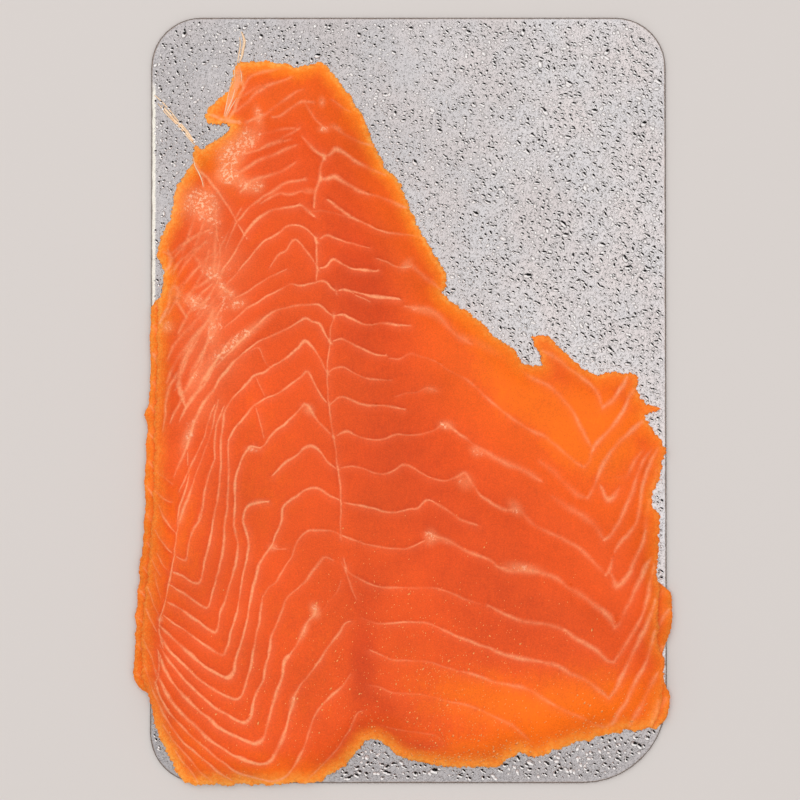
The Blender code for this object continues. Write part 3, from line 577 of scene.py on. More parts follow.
def moist_grain_group():
    """Fine muscle grain: a value about 1 that varies over the surface, and a height."""
    if "moist_grain" in bpy.data.node_groups:
        return bpy.data.node_groups["moist_grain"]
    group, make, start, end = new_group(
        "moist_grain",
        (("Vector", "NodeSocketVector", None), ("Amount", "NodeSocketFloat", 0.1)),
        (("Value", "NodeSocketFloat"), ("Height", "NodeSocketFloat")),
    )
    vector = start.outputs["Vector"]
    broad = make.times(make.noise(vector, 55, 3), 0.35)
    fine = make.noise(vector, 700, 4, 0.7)
    grit = make.noise(vector, 2400, 2, 0.6)
    both = make.plus(make.times(fine, 0.2), make.times(grit, 0.45))
    blend = make.plus(broad, both)
    swing = make.times(make.minus(blend, 0.5), start.outputs["Amount"])
    group.links.new(make.plus(swing, 1.0), end.inputs["Value"])
    height = make.plus(make.times(fine, 0.6), make.times(grit, 0.4))
    group.links.new(height, end.inputs["Height"])
    return group


# ---------------------------------------------------------------- geometry helpers


def catmull_rom(points, step):
    """Evenly spaced points on a smooth curve through the given ones, in metres."""
    knots = [Vector(p) * MM for p in points]
    knots = [knots[0] * 2 - knots[1]] + knots + [knots[-1] * 2 - knots[-2]]
    path = []
    for i in range(1, len(knots) - 2):
        before, start, end, after = knots[i - 1 : i + 3]
        slope = end - before
        square = 2 * before - 5 * start + 4 * end - after
        cube = 3 * start - before - 3 * end + after
        steps = max(1, round((end - start).length / step))
        for k in range(steps):
            t = k / steps
            path.append(0.5 * (2 * start + slope * t + square * t**2 + cube * t**3))
    path.append(knots[-2])
    return np.array(path)


def smooth_step(t):
    t = np.clip(t, 0, 1)
    return t * t * (3 - 2 * t)


def distance_inside(points, rim):
    """How far each point is inside a closed rim, negative outside it."""
    start = rim
    run = np.roll(rim, -1, axis=0) - start
    rise = np.where(run[:, 1] == 0, 1, run[:, 1])
    result = np.empty(len(points))
    for first in range(0, len(points), 2000):
        block = points[first : first + 2000]
        offset = block[:, None] - start[None]
        share = np.clip((offset * run).sum(2) / (run**2).sum(1), 0, 1)
        nearest = np.linalg.norm(offset - share[..., None] * run, axis=2).min(1)
        x = block[:, None, 0]
        y = block[:, None, 1]
        straddles = (start[:, 1] > y) != (start[:, 1] + run[:, 1] > y)
        crossing = start[:, 0] + (y - start[:, 1]) * run[:, 0] / rise
        inside = (straddles & (x < crossing)).sum(1) % 2 == 1
        result[first : first + 2000] = np.where(inside, nearest, -nearest)
    return result


def patches(points, table):
    """The sum of soft ellipses at each point; table rows are x, y, half sizes, tilt and strength."""
    total = np.zeros(len(points))
    for x, y, half_width, half_height, tilt, strength in table:
        turn = math.radians(tilt)
        offset = points / MM - (x, y)
        along = offset[:, 0] * math.cos(turn) + offset[:, 1] * math.sin(turn)
        across = offset[:, 1] * math.cos(turn) - offset[:, 0] * math.sin(turn)
        total += strength * np.exp(-((along / half_width) ** 2) - (across / half_height) ** 2)
    return total


def finished_mesh(name, form):
    """A mesh of a form that isn't needed any more."""
    mesh = bpy.data.meshes.new(name)
    form.to_mesh(mesh)
    form.free()
    return mesh


def new_piece(name, mesh, material):
    """Put a mesh with one material in the scene, as an object of its own."""
    mesh.shade_smooth()
    mesh.materials.append(material)
    piece = bpy.data.objects.new(name, mesh)
    bpy.context.collection.objects.link(piece)
    return piece


class CadSlice:
    """A CAD slice as read from model.glb: its rim seen from above, and its two faces' heights."""

    def __init__(self, name):
        self.form = bmesh.new()
        self.form.from_mesh(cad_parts[name].data)
        bmesh.ops.remove_doubles(self.form, verts=self.form.verts, dist=0.01 * MM)
        self.form.normal_update()
        self.form.verts.ensure_lookup_table()
        self.tree = BVHTree.FromBMesh(self.form)
        self.edge_tree = kdtree.KDTree(len(self.form.verts))
        for vert in self.form.verts:
            self.edge_tree.insert((vert.co.x, vert.co.y, 0), vert.index)
        self.edge_tree.balance()
        self.rim = self.lower_rim()

    def lower_rim(self):
        """The loop between the underside and the rim wall, in order."""
        lower = {f for f in self.form.faces if f.normal.z < -0.6}
        following = {}
        for face in lower:
            for loop in face.loops:
                other = [f for f in loop.edge.link_faces if f is not face]
                if other and other[0] not in lower:
                    following[loop.vert] = loop.link_loop_next.vert
        start = next(iter(sorted(following, key=lambda v: v.index)))
        path = [start]
        while following[path[-1]] is not start:
            path.append(following[path[-1]])
        return np.array([v.co[:2] for v in path])

    def height(self, x, y, from_above=True):
        """The height of the upper or lower face at a place, or of the nearest point to it."""
        z = 1.0 if from_above else -1.0
        hit = self.tree.ray_cast(Vector((x, y, z)), Vector((0, 0, -z)))[0]
        if hit is not None:
            return hit.z
        near = self.edge_tree.find_n((x, y, 0), 2)
        heights = [self.form.verts[index].co.z for _, index, _ in near]
        return max(heights) if from_above else min(heights)


def frayed_rim(rim, amount, step=0.5 * MM):
    """The rim with points about a step apart, pushed in and out by noise."""
    following = np.roll(rim, -1, axis=0)
    points = []
    for start, end in zip(rim, following):
        steps = max(1, round(float(np.linalg.norm(end - start)) / step))
        for k in range(steps):
            points.append(start + (end - start) * k / steps)
    points = np.array(points)
    tangent = np.roll(points, -2, axis=0) - np.roll(points, 2, axis=0)
    length = np.maximum(np.linalg.norm(tangent, axis=1), 1e-9)
    outward = np.stack([tangent[:, 1], -tangent[:, 0]], axis=1) / length[:, None]
    push = np.empty(len(points))
    for i, (x, y) in enumerate(points):
        broad = noise.noise(Vector((x, y, 0)) / (3.1 * MM))
        middle = noise.noise(Vector((x, y, 0.01)) / (1.3 * MM))
        fine = noise.noise(Vector((x, y, 0.02)) / (0.65 * MM))
        torn = noise.cell(Vector((x, y, 0.03)) / (0.42 * MM))
        push[i] = amount * (0.6 * broad + 0.6 * middle + 0.5 * fine + 0.5 * (torn - 0.5))
    return points + outward * push[:, None]


def back_nodes():
    """Small soft blots where the fat lines meet the back line."""
    return [
        (3.4, 0.85, 1, catmull_rom(((x - 0.1, y + 0.5), (x, y), (x + 0.2, y - 0.5)), 0.4 * MM))
        for x, y in BACK_NODES
    ]


def top_lines():
    """Every fat line of the top slice, as width, paleness, side of its glow and points in metres."""
    lines = []
    leftward = (BACK_LINE, LEFT_LINES, LEFT_RIM_LINES, UPPER_LINES)
    rightward = (RIGHT_LINES, HAZE_LINES, RIGHT_ARMS)
    for side, tables in ((1, leftward), (-1, rightward)):
        for table in tables:
            for width, pale, *points in table:
                lines.append((width, pale, side, catmull_rom(points, LINE_STEP)))
    return lines + back_nodes()


def under_lines(rim, spacing):
    """Plain slanting fat lines across a lower slice, of which only the rim is seen."""
    lines = []
    low = rim.min(0) / MM
    high = rim.max(0) / MM
    middle = (low[0] + high[0]) / 2
    for i in range(int((high[1] - low[1]) / spacing) + 4):
        y = low[1] + i * spacing
        points = ((low[0], y + 6), (low[0] + 22, y - 12), (middle, y + 4), (high[0] - 20, y - 14),
                  (high[0], y + 6))
        lines.append((0.8, 0.45, 1, catmull_rom(points, 1.6 * MM)))
    return lines


class FatLines:
    """The lines as rails for the mesh, and what they do to any point near them."""

    SOFT = 0.28 * MM  # how far a line's colour fades beyond its width
    GLOW = 3.0 * MM  # how far its fat shows through the flesh on one side
    SHADE = 1.6 * MM  # how far the flesh is deeper on the other side

    def __init__(self, lines, rim):
        self.chains = []
        self.samples = []
        for index, (width, pale, side, path) in enumerate(lines):
            path = self.wander(path, index)
            half = self.half_widths(width * MM, path, index)
            belly = self.looseness(path)
            half = half * (1 + 0.55 * belly) * (1 + 0.65 * self.bends(path))
            soft = self.SOFT + 0.45 * MM * belly
            keep = distance_inside(path, rim) > 0.55 * MM
            for first, last in self.runs(keep):
                piece = path[first:last]
                reach = half[first:last] + soft[first:last]
                normal = self.normals(piece)
                offset = normal * reach[:, None]
                self.chains.append((piece + offset, piece, piece - offset))
                strength = pale * self.strengths(piece, index) * self.faintness(piece)
                self.samples.extend(zip(piece, reach, strength, normal * side))
        self.tree = kdtree.KDTree(len(self.samples))
        for i, (place, *_) in enumerate(self.samples):
            self.tree.insert((*place, 0), i)
        self.tree.balance()

    @staticmethod
    def looseness(path):
        """How broad and soft the fat is: 1 in the belly on the right, less at the upper left."""
        x, y = path.T
        belly = smooth_step((x - BELLY_START) / BELLY_RUN)
        upper = smooth_step((y - 48 * MM) / (24 * MM))
        west = smooth_step((-60 * MM - x) / (8 * MM)) * smooth_step((y + 12 * MM) / (20 * MM))
        return np.maximum(belly, 0.75 * np.maximum(upper, west))

    @staticmethod
    def bends(path, span=3):
        """How sharply a line turns at each point, from 0 to 1; its fat is thicker there."""
        bend = np.zeros(len(path))
        if len(path) > 2 * span:
            before = path[span:-span] - path[: -2 * span]
            after = path[2 * span :] - path[span:-span]
            cross = before[:, 0] * after[:, 1] - before[:, 1] * after[:, 0]
            turn = np.abs(np.arctan2(cross, (before * after).sum(1)))
            bend[span:-span] = smooth_step((turn - 0.35) / 0.75)
        return bend

    @staticmethod
    def faintness(path):
        """How much of a line's paleness is left: it fades over the middle and low down."""
        x, y = path.T
        middle = smooth_step((x + 55 * MM) / (35 * MM)) * smooth_step((34 * MM - y) / (24 * MM))
        eastern = smooth_step((x - 52 * MM) / (12 * MM))
        low = smooth_step((-58 * MM - y) / (14 * MM)) * smooth_step((x + 18 * MM) / (6 * MM))
        return (1.0 - middle * (0.35 - 0.14 * eastern)) * (1 + 0.08 * low)

    @staticmethod
    def wander(path, index):
        """Small sideways bends, so that no line is a drawn curve."""
        moved = path.copy()
        for i, (x, y) in enumerate(path):
            for axis in (0, 1):
                place = Vector((x, y, index * 0.003 + axis * 0.5))
                moved[i, axis] += noise.noise(place / (3.4 * MM)) * 0.24 * MM
                moved[i, axis] += noise.noise(place / (1.3 * MM)) * 0.11 * MM
        return moved

    @staticmethod
    def half_widths(width, path, index):
        run = np.concatenate([[0], np.cumsum(np.linalg.norm(np.diff(path, axis=0), axis=1))])
        ends = np.minimum(run, run[-1] - run)
        taper = 0.3 + 0.7 * smooth_step(ends / (3 * MM))
        swell = np.array(
            [1 + 0.8 * noise.noise(Vector((x, y, index * 0.01)) / (4 * MM)) for x, y in path]
        )
        return LINE_WIDTH * width / 2 * taper * swell

    @staticmethod
    def strengths(path, index):
        return np.array(
            [1 + 0.9 * noise.noise(Vector((x, y, 0.5 + index * 0.01)) / (6 * MM)) for x, y in path]
        )

    @staticmethod
    def runs(keep):
        """The stretches of a line that lie inside the slice."""
        found = []
        first = None
        for i, inside in enumerate([*keep, False]):
            if inside and first is None:
                first = i
            if not inside and first is not None:
                if i - first > 2:
                    found.append((first, i))
                first = None
        return found

    @staticmethod
    def normals(path):
        tangent = np.gradient(path, axis=0)
        tangent /= np.maximum(np.linalg.norm(tangent, axis=1), 1e-9)[:, None]
        return np.stack([-tangent[:, 1], tangent[:, 0]], axis=1)

    def clear(self, x, y, margin):
        """Whether a place is at least a margin outside every line's rails."""
        _, index, away = self.tree.find((x, y, 0))
        return away > self.samples[index][1] + margin

    def values(self, x, y):
        """Paleness, glow, shade and the distance to the nearest line at a place."""
        pale = 0.0
        glow = 0.0
        shade = 0.0
        nearest = self.GLOW
        for _, i, away in self.tree.find_range((x, y, 0), self.GLOW):
            place, reach, strength, side = self.samples[i]
            nearest = min(nearest, away)
            pale = max(pale, strength * max(0.0, 1 - away / reach))
            across = (x - place[0]) * side[0] + (y - place[1]) * side[1]
            if across > -0.3 * MM:
                glow = max(glow, strength * (1 - away / self.GLOW) ** 1.5)
            elif away < self.SHADE:
                shade = max(shade, strength * (1 - away / self.SHADE))
        return pale, glow, shade, nearest


def lattice(rim, step, lines=None):
    """Points in staggered rows, clear of the rim and of the fat lines."""
    low = rim.min(0)
    high = rim.max(0)
    row_step = step * math.sqrt(3) / 2
    grid = []
    for j in range(int((high[1] - low[1]) / row_step) + 1):
        y = low[1] + j * row_step
        shift = step / 2 * (j % 2)
        for i in range(int((high[0] - low[0]) / step) + 1):
            grid.append((low[0] + i * step + shift, y))
    grid = np.array(grid)
    grid = grid[distance_inside(grid, rim) > 0.5 * step]
    if lines is None:
        return grid
    return np.array([p for p in grid if lines.clear(*p, 0.3 * step)])


def sheet(form, rim, inner, chains=()):
    """A sheet of triangles that fills a rim, in the plane z = 0; returns its new vertices."""
    points = [tuple(p) for p in rim]
    edges = [(i, (i + 1) % len(rim)) for i in range(len(rim))]
    for chain in chains:
        for rail in chain:
            first = len(points)
            points.extend(tuple(p) for p in rail)
            edges.extend((first + i, first + i + 1) for i in range(len(rail) - 1))
    points.extend(tuple(p) for p in inner)
    found = geometry.delaunay_2d_cdt([Vector(p) for p in points], edges, [], 1, 0.02 * MM, False)
    flat = np.array([tuple(p) for p in found[0]])
    corners = [form.verts.new((x, y, 0)) for x, y in flat]
    middles = np.array([flat[list(face)].mean(0) for face in found[2]])
    for face, inside in zip(found[2], distance_inside(middles, rim)):
        if inside > 0:
            form.faces.new([corners[i] for i in face])
    loose = [v for v in corners if not v.link_faces]
    bmesh.ops.delete(form, geom=loose, context="VERTS")
    return [v for v in corners if v.is_valid]


def surface_of(name):
    """A finished piece's surface, for finding its height at a place."""
    form = bmesh.new()
    form.from_mesh(bpy.data.objects[name].data)
    tree = BVHTree.FromBMesh(form)
    form.free()
    return tree


def top_at(surfaces, x, y):
    """The height of the highest surface at a place, or of the board where there is none."""
    hits = [tree.ray_cast(Vector((x, y, 1)), Vector((0, 0, -1)))[0] for tree in surfaces]
    return max([BOARD_HIGH.z] + [hit.z for hit in hits if hit is not None])


class Settling:
    """How far a slice sinks towards its rim, where nothing holds it up."""

    STEP = 1.5 * MM  # distance between the places where the gap is measured
    REACH = 9 * MM  # how far inside the rim the slice starts to bend down
    CLEARANCE = 0.15 * MM

    def __init__(self, node, below):
        surfaces = [surface_of(name) for name in below]
        self.low = node.rim.min(0) - 3 * self.STEP
        counts = np.ceil((node.rim.max(0) - self.low) / self.STEP).astype(int) + 4
        gap = np.empty(counts)
        for i, j in np.ndindex(*counts):
            x, y = self.low + np.array((i, j)) * self.STEP
            gap[i, j] = node.height(x, y, from_above=False) - top_at(surfaces, x, y)
        gap = self.nearby(gap, 2, np.min)
        self.gap = self.nearby(self.nearby(gap, 1, np.mean), 1, np.mean)

    @staticmethod
    def nearby(field, radius, kind):
        """The least or mean value round each place of a field."""
        padded = np.pad(field, radius, mode="edge")
        rows, columns = field.shape
        span = range(2 * radius + 1)
        return kind([padded[i : i + rows, j : j + columns] for i in span for j in span], axis=0)

    def fall(self, points, inside):
        """How far each point sinks, from the whole gap at the rim to nothing further in."""
        place = (points - self.low) / self.STEP
        cell = place.astype(int)
        (i, j), (u, v) = cell.T, (place - cell).T
        near = self.gap[i, j] * (1 - u) + self.gap[i + 1, j] * u
        far = self.gap[i, j + 1] * (1 - u) + self.gap[i + 1, j + 1] * u
        gap = np.maximum(near * (1 - v) + far * v - self.CLEARANCE, 0)
        return gap * (1 - smooth_step(inside / self.REACH))


def slice_piece(name, node, line_list, step, fringe, below, settings, material):
    """A closed slice, cut along its fat lines, with the values that its material reads."""
    rim = frayed_rim(node.rim, fringe)
    lines = FatLines(line_list, rim)
    form = bmesh.new()
    upper = sheet(form, rim, lattice(rim, step, lines), lines.chains)
    for vert in upper:
        vert.co.z = node.height(vert.co.x, vert.co.y)
    inner = [v for v in upper if not v.is_boundary]
    for _ in range(SMOOTHING_ROUNDS):
        bmesh.ops.smooth_vert(form, verts=inner, factor=0.5, use_axis_z=True)
    flat = np.array([v.co[:2] for v in upper])
    depth = distance_inside(flat, rim)
    for vert, inside in zip(upper, depth):
        x, y, _ = vert.co
        pale, _, _, near = lines.values(x, y)
        inward = float(smooth_step(inside / RELIEF_FADE))
        swell = float(smooth_step(near / RELIEF_FADE))
        uneven = noise.noise(Vector((x, y, 0)) / (9 * MM)) * 0.14 * MM
        uneven += noise.noise(Vector((x, y, 0.02)) / (2.4 * MM)) * 0.05 * MM
        vert.co.z += settings.line_height * pale
        vert.co.z += inward * (uneven + settings.flake_height * (swell - 0.5))

    wall = bmesh.ops.extrude_edge_only(form, edges=[e for e in form.edges if e.is_boundary])
    foot = [item for item in wall["geom"] if isinstance(item, bmesh.types.BMVert)]
    lower = sheet(form, rim, lattice(rim, UNDERSIDE_STEP))
    for vert in foot + lower:
        vert.co.z = node.height(vert.co.x, vert.co.y, from_above=False)
    bmesh.ops.remove_doubles(form, verts=foot + lower, dist=0.03 * MM)
    bmesh.ops.recalc_face_normals(form, faces=form.faces)
    flat = np.array([v.co[:2] for v in form.verts])
    depth = distance_inside(flat, rim)
    for vert, fall in zip(form.verts, Settling(node, below).fall(flat, depth)):
        vert.co.z -= fall

    mesh = finished_mesh(name, form)
    pale, glow, shade, _ = np.array([lines.values(x, y) for x, y in flat]).T
    lift = np.array([node.height(x, y, from_above=False) for x, y in flat]) - BOARD_HIGH.z
    top = name == "salmon_top"
    values = {
        "fat": pale,
        "glow": glow,
        "shade": shade,
        "cloud": patches(flat, CLOUDS) if top else np.zeros(len(flat)),
        "tint": patches(flat, TINTS) if top else np.full(len(flat), -0.5),
        "inward": np.clip(depth / RIM_REACH, 0, 1),
        "lift": np.clip(lift / FULL_LIFT, 0, 1),
    }
    for key, data in values.items():
        layer = mesh.attributes.new(key, "FLOAT", "POINT")
        layer.data.foreach_set("value", np.asarray(data, dtype=np.float32))
    return new_piece(name, mesh, material)


def flesh_material(name, settings):
    """Flesh that reads its fat lines, cloudy patches, tints and rim from the slice's own values."""
    material, make, shader = new_material(name)
    links = material.node_tree.links
    coords = make.object_coords()
    grain = material.node_tree.nodes.new("ShaderNodeGroup")
    grain.node_tree = moist_grain_group()
    grain.inputs["Amount"].default_value = 1.25
    links.new(coords, grain.inputs["Vector"])

    # Deep and golden parts of the flesh, with an uneven drift between them.
    drift = make.times(make.swing(coords, 34, 3), 0.9)
    vein = make.times(make.swing(coords, 190, 3, 0.6), 0.5)
    tone = make.plus(make.attribute("tint"), make.plus(drift, vein))
    tone = make.plus(tone, make.times(make.attribute("shade"), 0.8))
    along = make.add("ShaderNodeMapping", {"Vector": coords, "Scale": (1100, 260, 1100)})
    fibre = make.times(make.swing(along, 1.0, 3, 0.6), 0.55)
    tone = make.plus(tone, fibre)
    deep = make.ramp(tone, 0.0, 1.2)
    gold = make.ramp(make.times(tone, -1.0), -0.1, 1.0)
    # Painted light: flesh that lies low over the foil turns golden, as if the foil's light came through
    # it.
    through = make.times(make.ramp(make.attribute("lift"), 0.75, 0.1), 0.35)
    gold = make.math("MAXIMUM", gold, through)
    colour = make.mix(deep, colour4(settings.main_colour), colour4(settings.deep_colour))
    colour = make.mix(gold, colour, colour4(settings.gold_colour))

    # Fat that shows through beside each line.
    glow = make.times(make.attribute("glow"), 0.62)
    colour = make.mix(glow, colour, colour4(settings.glow_colour))

    # The rim is thin, so more light comes through it.
    inward = make.attribute("inward")
    ragged = make.swing(coords, 520, 5, 0.7)
    depth = make.plus(inward, make.times(ragged, 0.6))
    north = make.add("ShaderNodeSeparateXYZ", {0: coords}, output=1)
    thin = make.math(
        "MAXIMUM",
        make.ramp(north, -20 * MM, 70 * MM, 0.5, 1.0),
        make.ramp(north, -95 * MM, -112 * MM, 0.5, 1.0),
    )
    band = make.times(make.ramp(depth, 0.95, 0.1), thin)
    east = make.add("ShaderNodeSeparateXYZ", {0: coords})
    west = make.ramp(east, -35 * MM, -60 * MM, 0.12, 0.5)
    fibrous = make.ramp(make.noise(coords, 1300, 3, 0.7), 0.44, 0.62)
    golden = make.mix(make.times(fibrous, west), colour4(settings.thin_colour),
                      colour4(settings.rim_colour))
    colour = make.mix(band, colour, golden)
    patchy = make.ramp(make.noise(coords, 900, 3, 0.65), 0.38, 0.62, 0.25, 1.0)
    rim = make.times(make.ramp(depth, 0.34, -0.02), patchy)
    rim = make.times(rim, make.ramp(thin, 0.5, 1.0, 0.35, 1.0))
    low = make.times(make.ramp(north, -88 * MM, -106 * MM), patchy)
    wide = make.times(make.ramp(depth, 0.8, 0.05), 0.5)
    rim = make.math("MAXIMUM", rim, make.times(wide, low))
    colour = make.mix(rim, colour, colour4(settings.rim_colour))

    # The fat lines themselves, broken up a little.
    broken = make.ramp(make.noise(coords, 900, 3, 0.6), 0.25, 0.65, 0.45, 1.0)
    line = make.ramp(make.attribute("fat"), 0.0, 0.85)
    line = make.times(make.times(line, broken), 0.9, clamp=True)
    colour = make.mix(line, colour, colour4(settings.fat_colour))

    # Cloudy patches are crisp grains over a faint haze.
    cloud = make.attribute("cloud")
    edge = make.swing(coords, 330, 3, 0.6)
    extent = make.ramp(make.plus(cloud, make.times(edge, 1.5)), 0.42, 0.85)
    speck = make.ramp(make.noise(coords, 1000, 3, 0.75), 0.51, 0.56)
    haze = make.times(make.ramp(cloud, 0.03, 0.8), 0.42)
    colour = make.mix(haze, colour, colour4(settings.fat_colour))
    patch = make.times(make.times(extent, speck), 0.9, clamp=True)
    colour = make.mix(patch, colour, colour4(settings.cloud_colour))

    shaded = make.add("ShaderNodeHueSaturation", {"Color": colour, "Value": grain.outputs["Value"]})
    links.new(shaded, shader.inputs["Base Color"])
    moist = make.times(grain.outputs["Height"], 0.25)
    links.new(make.plus(moist, settings.roughness), shader.inputs["Roughness"])
    bump = make.add(
        "ShaderNodeBump",
        {"Height": grain.outputs["Height"], "Strength": 0.3, "Distance": 0.12 * MM},
    )
    links.new(bump, shader.inputs["Normal"])
    shader.inputs["Specular IOR Level"].default_value = 0.15
    shader.inputs["IOR"].default_value = 1.38
    return material


# ---------------------------------------------------------------- operators


class SALMON_OT_top_slice(bpy.types.Operator):
    """Build the top slice with its fat lines"""

    bl_idname = "salmon.top_slice"
    bl_label = "Top slice"

    def execute(self, context):
        settings = context.scene.salmon_flesh
        node = CadSlice("slice_top")
        below = ("salmon_bottom", "salmon_middle")
        piece = slice_piece(
            "salmon_top", node, top_lines(), settings.mesh_step, settings.fringe, below, settings,
            flesh_material("marbled_flesh", settings),
        )
        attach(piece, BODY)
        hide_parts("slice_top")
        return {"FINISHED"}


class SALMON_OT_under_slices(bpy.types.Operator):
    """Build the two lower slices"""

    bl_idname = "salmon.under_slices"
    bl_label = "Lower slices"

    def execute(self, context):
        settings = context.scene.salmon_flesh
        material = flesh_material("under_flesh", settings)
        for name, below in (("bottom", ()), ("middle", ("salmon_bottom",))):
            node = CadSlice(f"slice_{name}")
            lines = under_lines(node.rim, UNDER_SPACING)
            piece = slice_piece(
                f"salmon_{name}", node, lines, UNDER_STEP, UNDER_FRINGE, below, settings, material
            )
            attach(piece, BODY)
            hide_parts(f"slice_{name}")
        return {"FINISHED"}


def board_edge_group():
    """How far inside the board's rounded outline a place is, in metres."""
    group, make, start, end = new_group(
        "board_edge",
        (("Vector", "NodeSocketVector", None), ("Radius", "NodeSocketFloat", CORNER),
         ("Wide Radius", "NodeSocketFloat", WIDE_CORNER)),
        (("Value", "NodeSocketFloat"),),
    )
    place = make.add("ShaderNodeSeparateXYZ", {0: start.outputs["Vector"]}).node
    right = make.math("GREATER_THAN", place.outputs[0], 0.0)
    lower = make.math("LESS_THAN", place.outputs[1], 0.0)
    wide = make.times(right, lower)
    extra = make.minus(start.outputs["Wide Radius"], start.outputs["Radius"])
    radius = make.plus(start.outputs["Radius"], make.times(wide, extra))
    over = []
    for output, half in ((0, BOARD_HIGH.x), (1, BOARD_HIGH.y)):
        reach = make.minus(half, radius)
        over.append(make.minus(make.math("ABSOLUTE", place.outputs[output]), reach))
    square = [make.math("POWER", make.math("MAXIMUM", value, 0.0), 2.0) for value in over]
    corner = make.math("SQRT", make.plus(*square))
    side = make.math("MINIMUM", make.math("MAXIMUM", *over), 0.0)
    outside = make.minus(make.plus(corner, side), radius)
    group.links.new(make.times(outside, -1.0), end.inputs["Value"])
    return group


def foil_material(settings):
    """Silver foil under a fine beaded film, with painted shade towards the left and bottom, a bare paper
    strip and a card edge with a dark band beside it.
    """
    material, make, shader = new_material("silver_foil_card")
    links = material.node_tree.links
    coords = make.object_coords()
    place = make.add("ShaderNodeSeparateXYZ", {0: coords}).node
    x = place.outputs[0]
    y = place.outputs[1]
    # Painted shade: the foil darkens towards the left and the bottom, in cloudy patches.
    cloudy = make.noise(coords, 26, 4, 0.6)
    share = make.plus(make.ramp(x, -85 * MM, 70 * MM), cloudy)
    share = make.times(share, make.ramp(y, -118 * MM, -70 * MM, 0.12, 0.62), clamp=True)
    cool = make.ramp(make.noise(coords, 60, 3, 0.55), 0.36, 0.66)
    bright = make.mix(cool, colour4(settings.foil_colour), colour4(settings.foil_cool))
    foil = make.mix(share, colour4(settings.painted_foil_shade), bright)
    # The bare paper strip runs along the upper part of the left edge.
    strip = make.times(make.ramp(x, -80.8 * MM, -81.5 * MM), make.ramp(y, 26 * MM, 34 * MM))
    strip = make.times(strip, make.ramp(y, 103 * MM, 96 * MM))
    strip = make.times(strip, 0.9)
    face = make.mix(strip, foil, colour4(settings.liner_colour))
    # The cut edge, and a dark band on the foil beside it.
    inside = material.node_tree.nodes.new("ShaderNodeGroup")
    inside.node_tree = board_edge_group()
    links.new(coords, inside.inputs["Vector"])
    edge_wobble = make.times(make.swing(coords, 300, 3), 0.5 * MM)
    dark_edge_band = make.ramp(make.plus(inside.outputs["Value"], edge_wobble), 0.65 * MM, 0.25 * MM)
    face = make.mix(make.times(dark_edge_band, 0.9), face, colour4(settings.card_colour))
    normal = make.add("ShaderNodeNewGeometry", output=1)
    upward = make.add("ShaderNodeSeparateXYZ", {0: normal}, output=2)
    edge = make.ramp(upward, 0.85, 0.45)
    links.new(make.mix(edge, face, colour4(settings.card_colour)), shader.inputs["Base Color"])
    bare = make.math("MAXIMUM", edge, strip)
    links.new(make.minus(1.0, bare, clamp=True), shader.inputs["Metallic"])
    film = make.noise(coords, 900, 3, 0.6)
    links.new(make.ramp(film, 0.2, 0.8, 0.22, 0.42), shader.inputs["Roughness"])
    beads = make.add("ShaderNodeTexVoronoi", {"Vector": coords, "Scale": 1900.0})
    height = make.plus(make.ramp(beads, 0.55, 0.1), make.times(film, 0.5))
    bump = make.add("ShaderNodeBump", {"Height": height, "Strength": 0.7, "Distance": 0.07 * MM})
    links.new(bump, shader.inputs["Normal"])
    return material


class SALMON_OT_board(bpy.types.Operator):
    """Give the board its foil face and card edge"""

    bl_idname = "salmon.board"
    bl_label = "Board"

    def execute(self, context):
        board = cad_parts["board"]
        board.data.materials.clear()
        board.data.materials.append(foil_material(context.scene.salmon_board))
        return {"FINISHED"}


def drop_template(sides, rings):
    """A low dome of unit radius and height with a closed bottom, as points and triangles."""
    form = bmesh.new()
    bmesh.ops.create_uvsphere(form, u_segments=sides, v_segments=rings * 2, radius=1.0)
    bmesh.ops.bisect_plane(
        form, geom=[*form.verts, *form.edges, *form.faces], plane_co=(0, 0, 0),
        plane_no=(0, 0, -1), clear_outer=True, dist=1e-5,
    )
    bmesh.ops.holes_fill(form, edges=[e for e in form.edges if e.is_boundary])
    bmesh.ops.triangulate(form, faces=form.faces)
    bmesh.ops.recalc_face_normals(form, faces=form.faces)
    form.verts.index_update()
    points = np.array([v.co[:] for v in form.verts])
    faces = np.array([[v.index for v in f.verts] for f in form.faces])
    form.free()
    return points, faces


def join_drops(name, template, drops, material):
    """One mesh of many drops. Each drop is its place, its two radii, its height and its turn."""
    shape, faces = template
    drops = np.array(drops)
    cos = np.cos(drops[:, 6])[:, None]
    sin = np.sin(drops[:, 6])[:, None]
    x = shape[:, 0] * drops[:, 3:4]
    y = shape[:, 1] * drops[:, 4:5]
    points = np.empty((len(drops), len(shape), 3))
    points[:, :, 0] = drops[:, 0:1] + x * cos - y * sin
    points[:, :, 1] = drops[:, 1:2] + x * sin + y * cos
    points[:, :, 2] = drops[:, 2:3] + shape[:, 2] * drops[:, 5:6]
    indices = faces[None] + (np.arange(len(drops)) * len(shape))[:, None, None]
    mesh = bpy.data.meshes.new(name)
    mesh.from_pydata(points.reshape(-1, 3), [], indices.reshape(-1, 3).tolist())
    return new_piece(name, mesh, material)


def wet(shader, roughness, specular):
    """Give a shader the sheen of water."""
    shader.inputs["Roughness"].default_value = roughness
    shader.inputs["Specular IOR Level"].default_value = specular
    shader.inputs["IOR"].default_value = 1.33


def glint_material():
    """Tiny drops on the fish, coloured light orange as painted highlights that carry the flesh's colour.
    """
    material, make, shader = new_material("water_glints")
    coords = make.object_coords()
    # Painted highlight: light orange specks stand in for the drops' glints.
    shade = make.mix(make.noise(coords, 200, 2), (0.98, 0.24, 0.05, 1), (1.0, 0.52, 0.19, 1))
    material.node_tree.links.new(shade, shader.inputs["Base Color"])
    wet(shader, 0.15, 0.25)
    return material


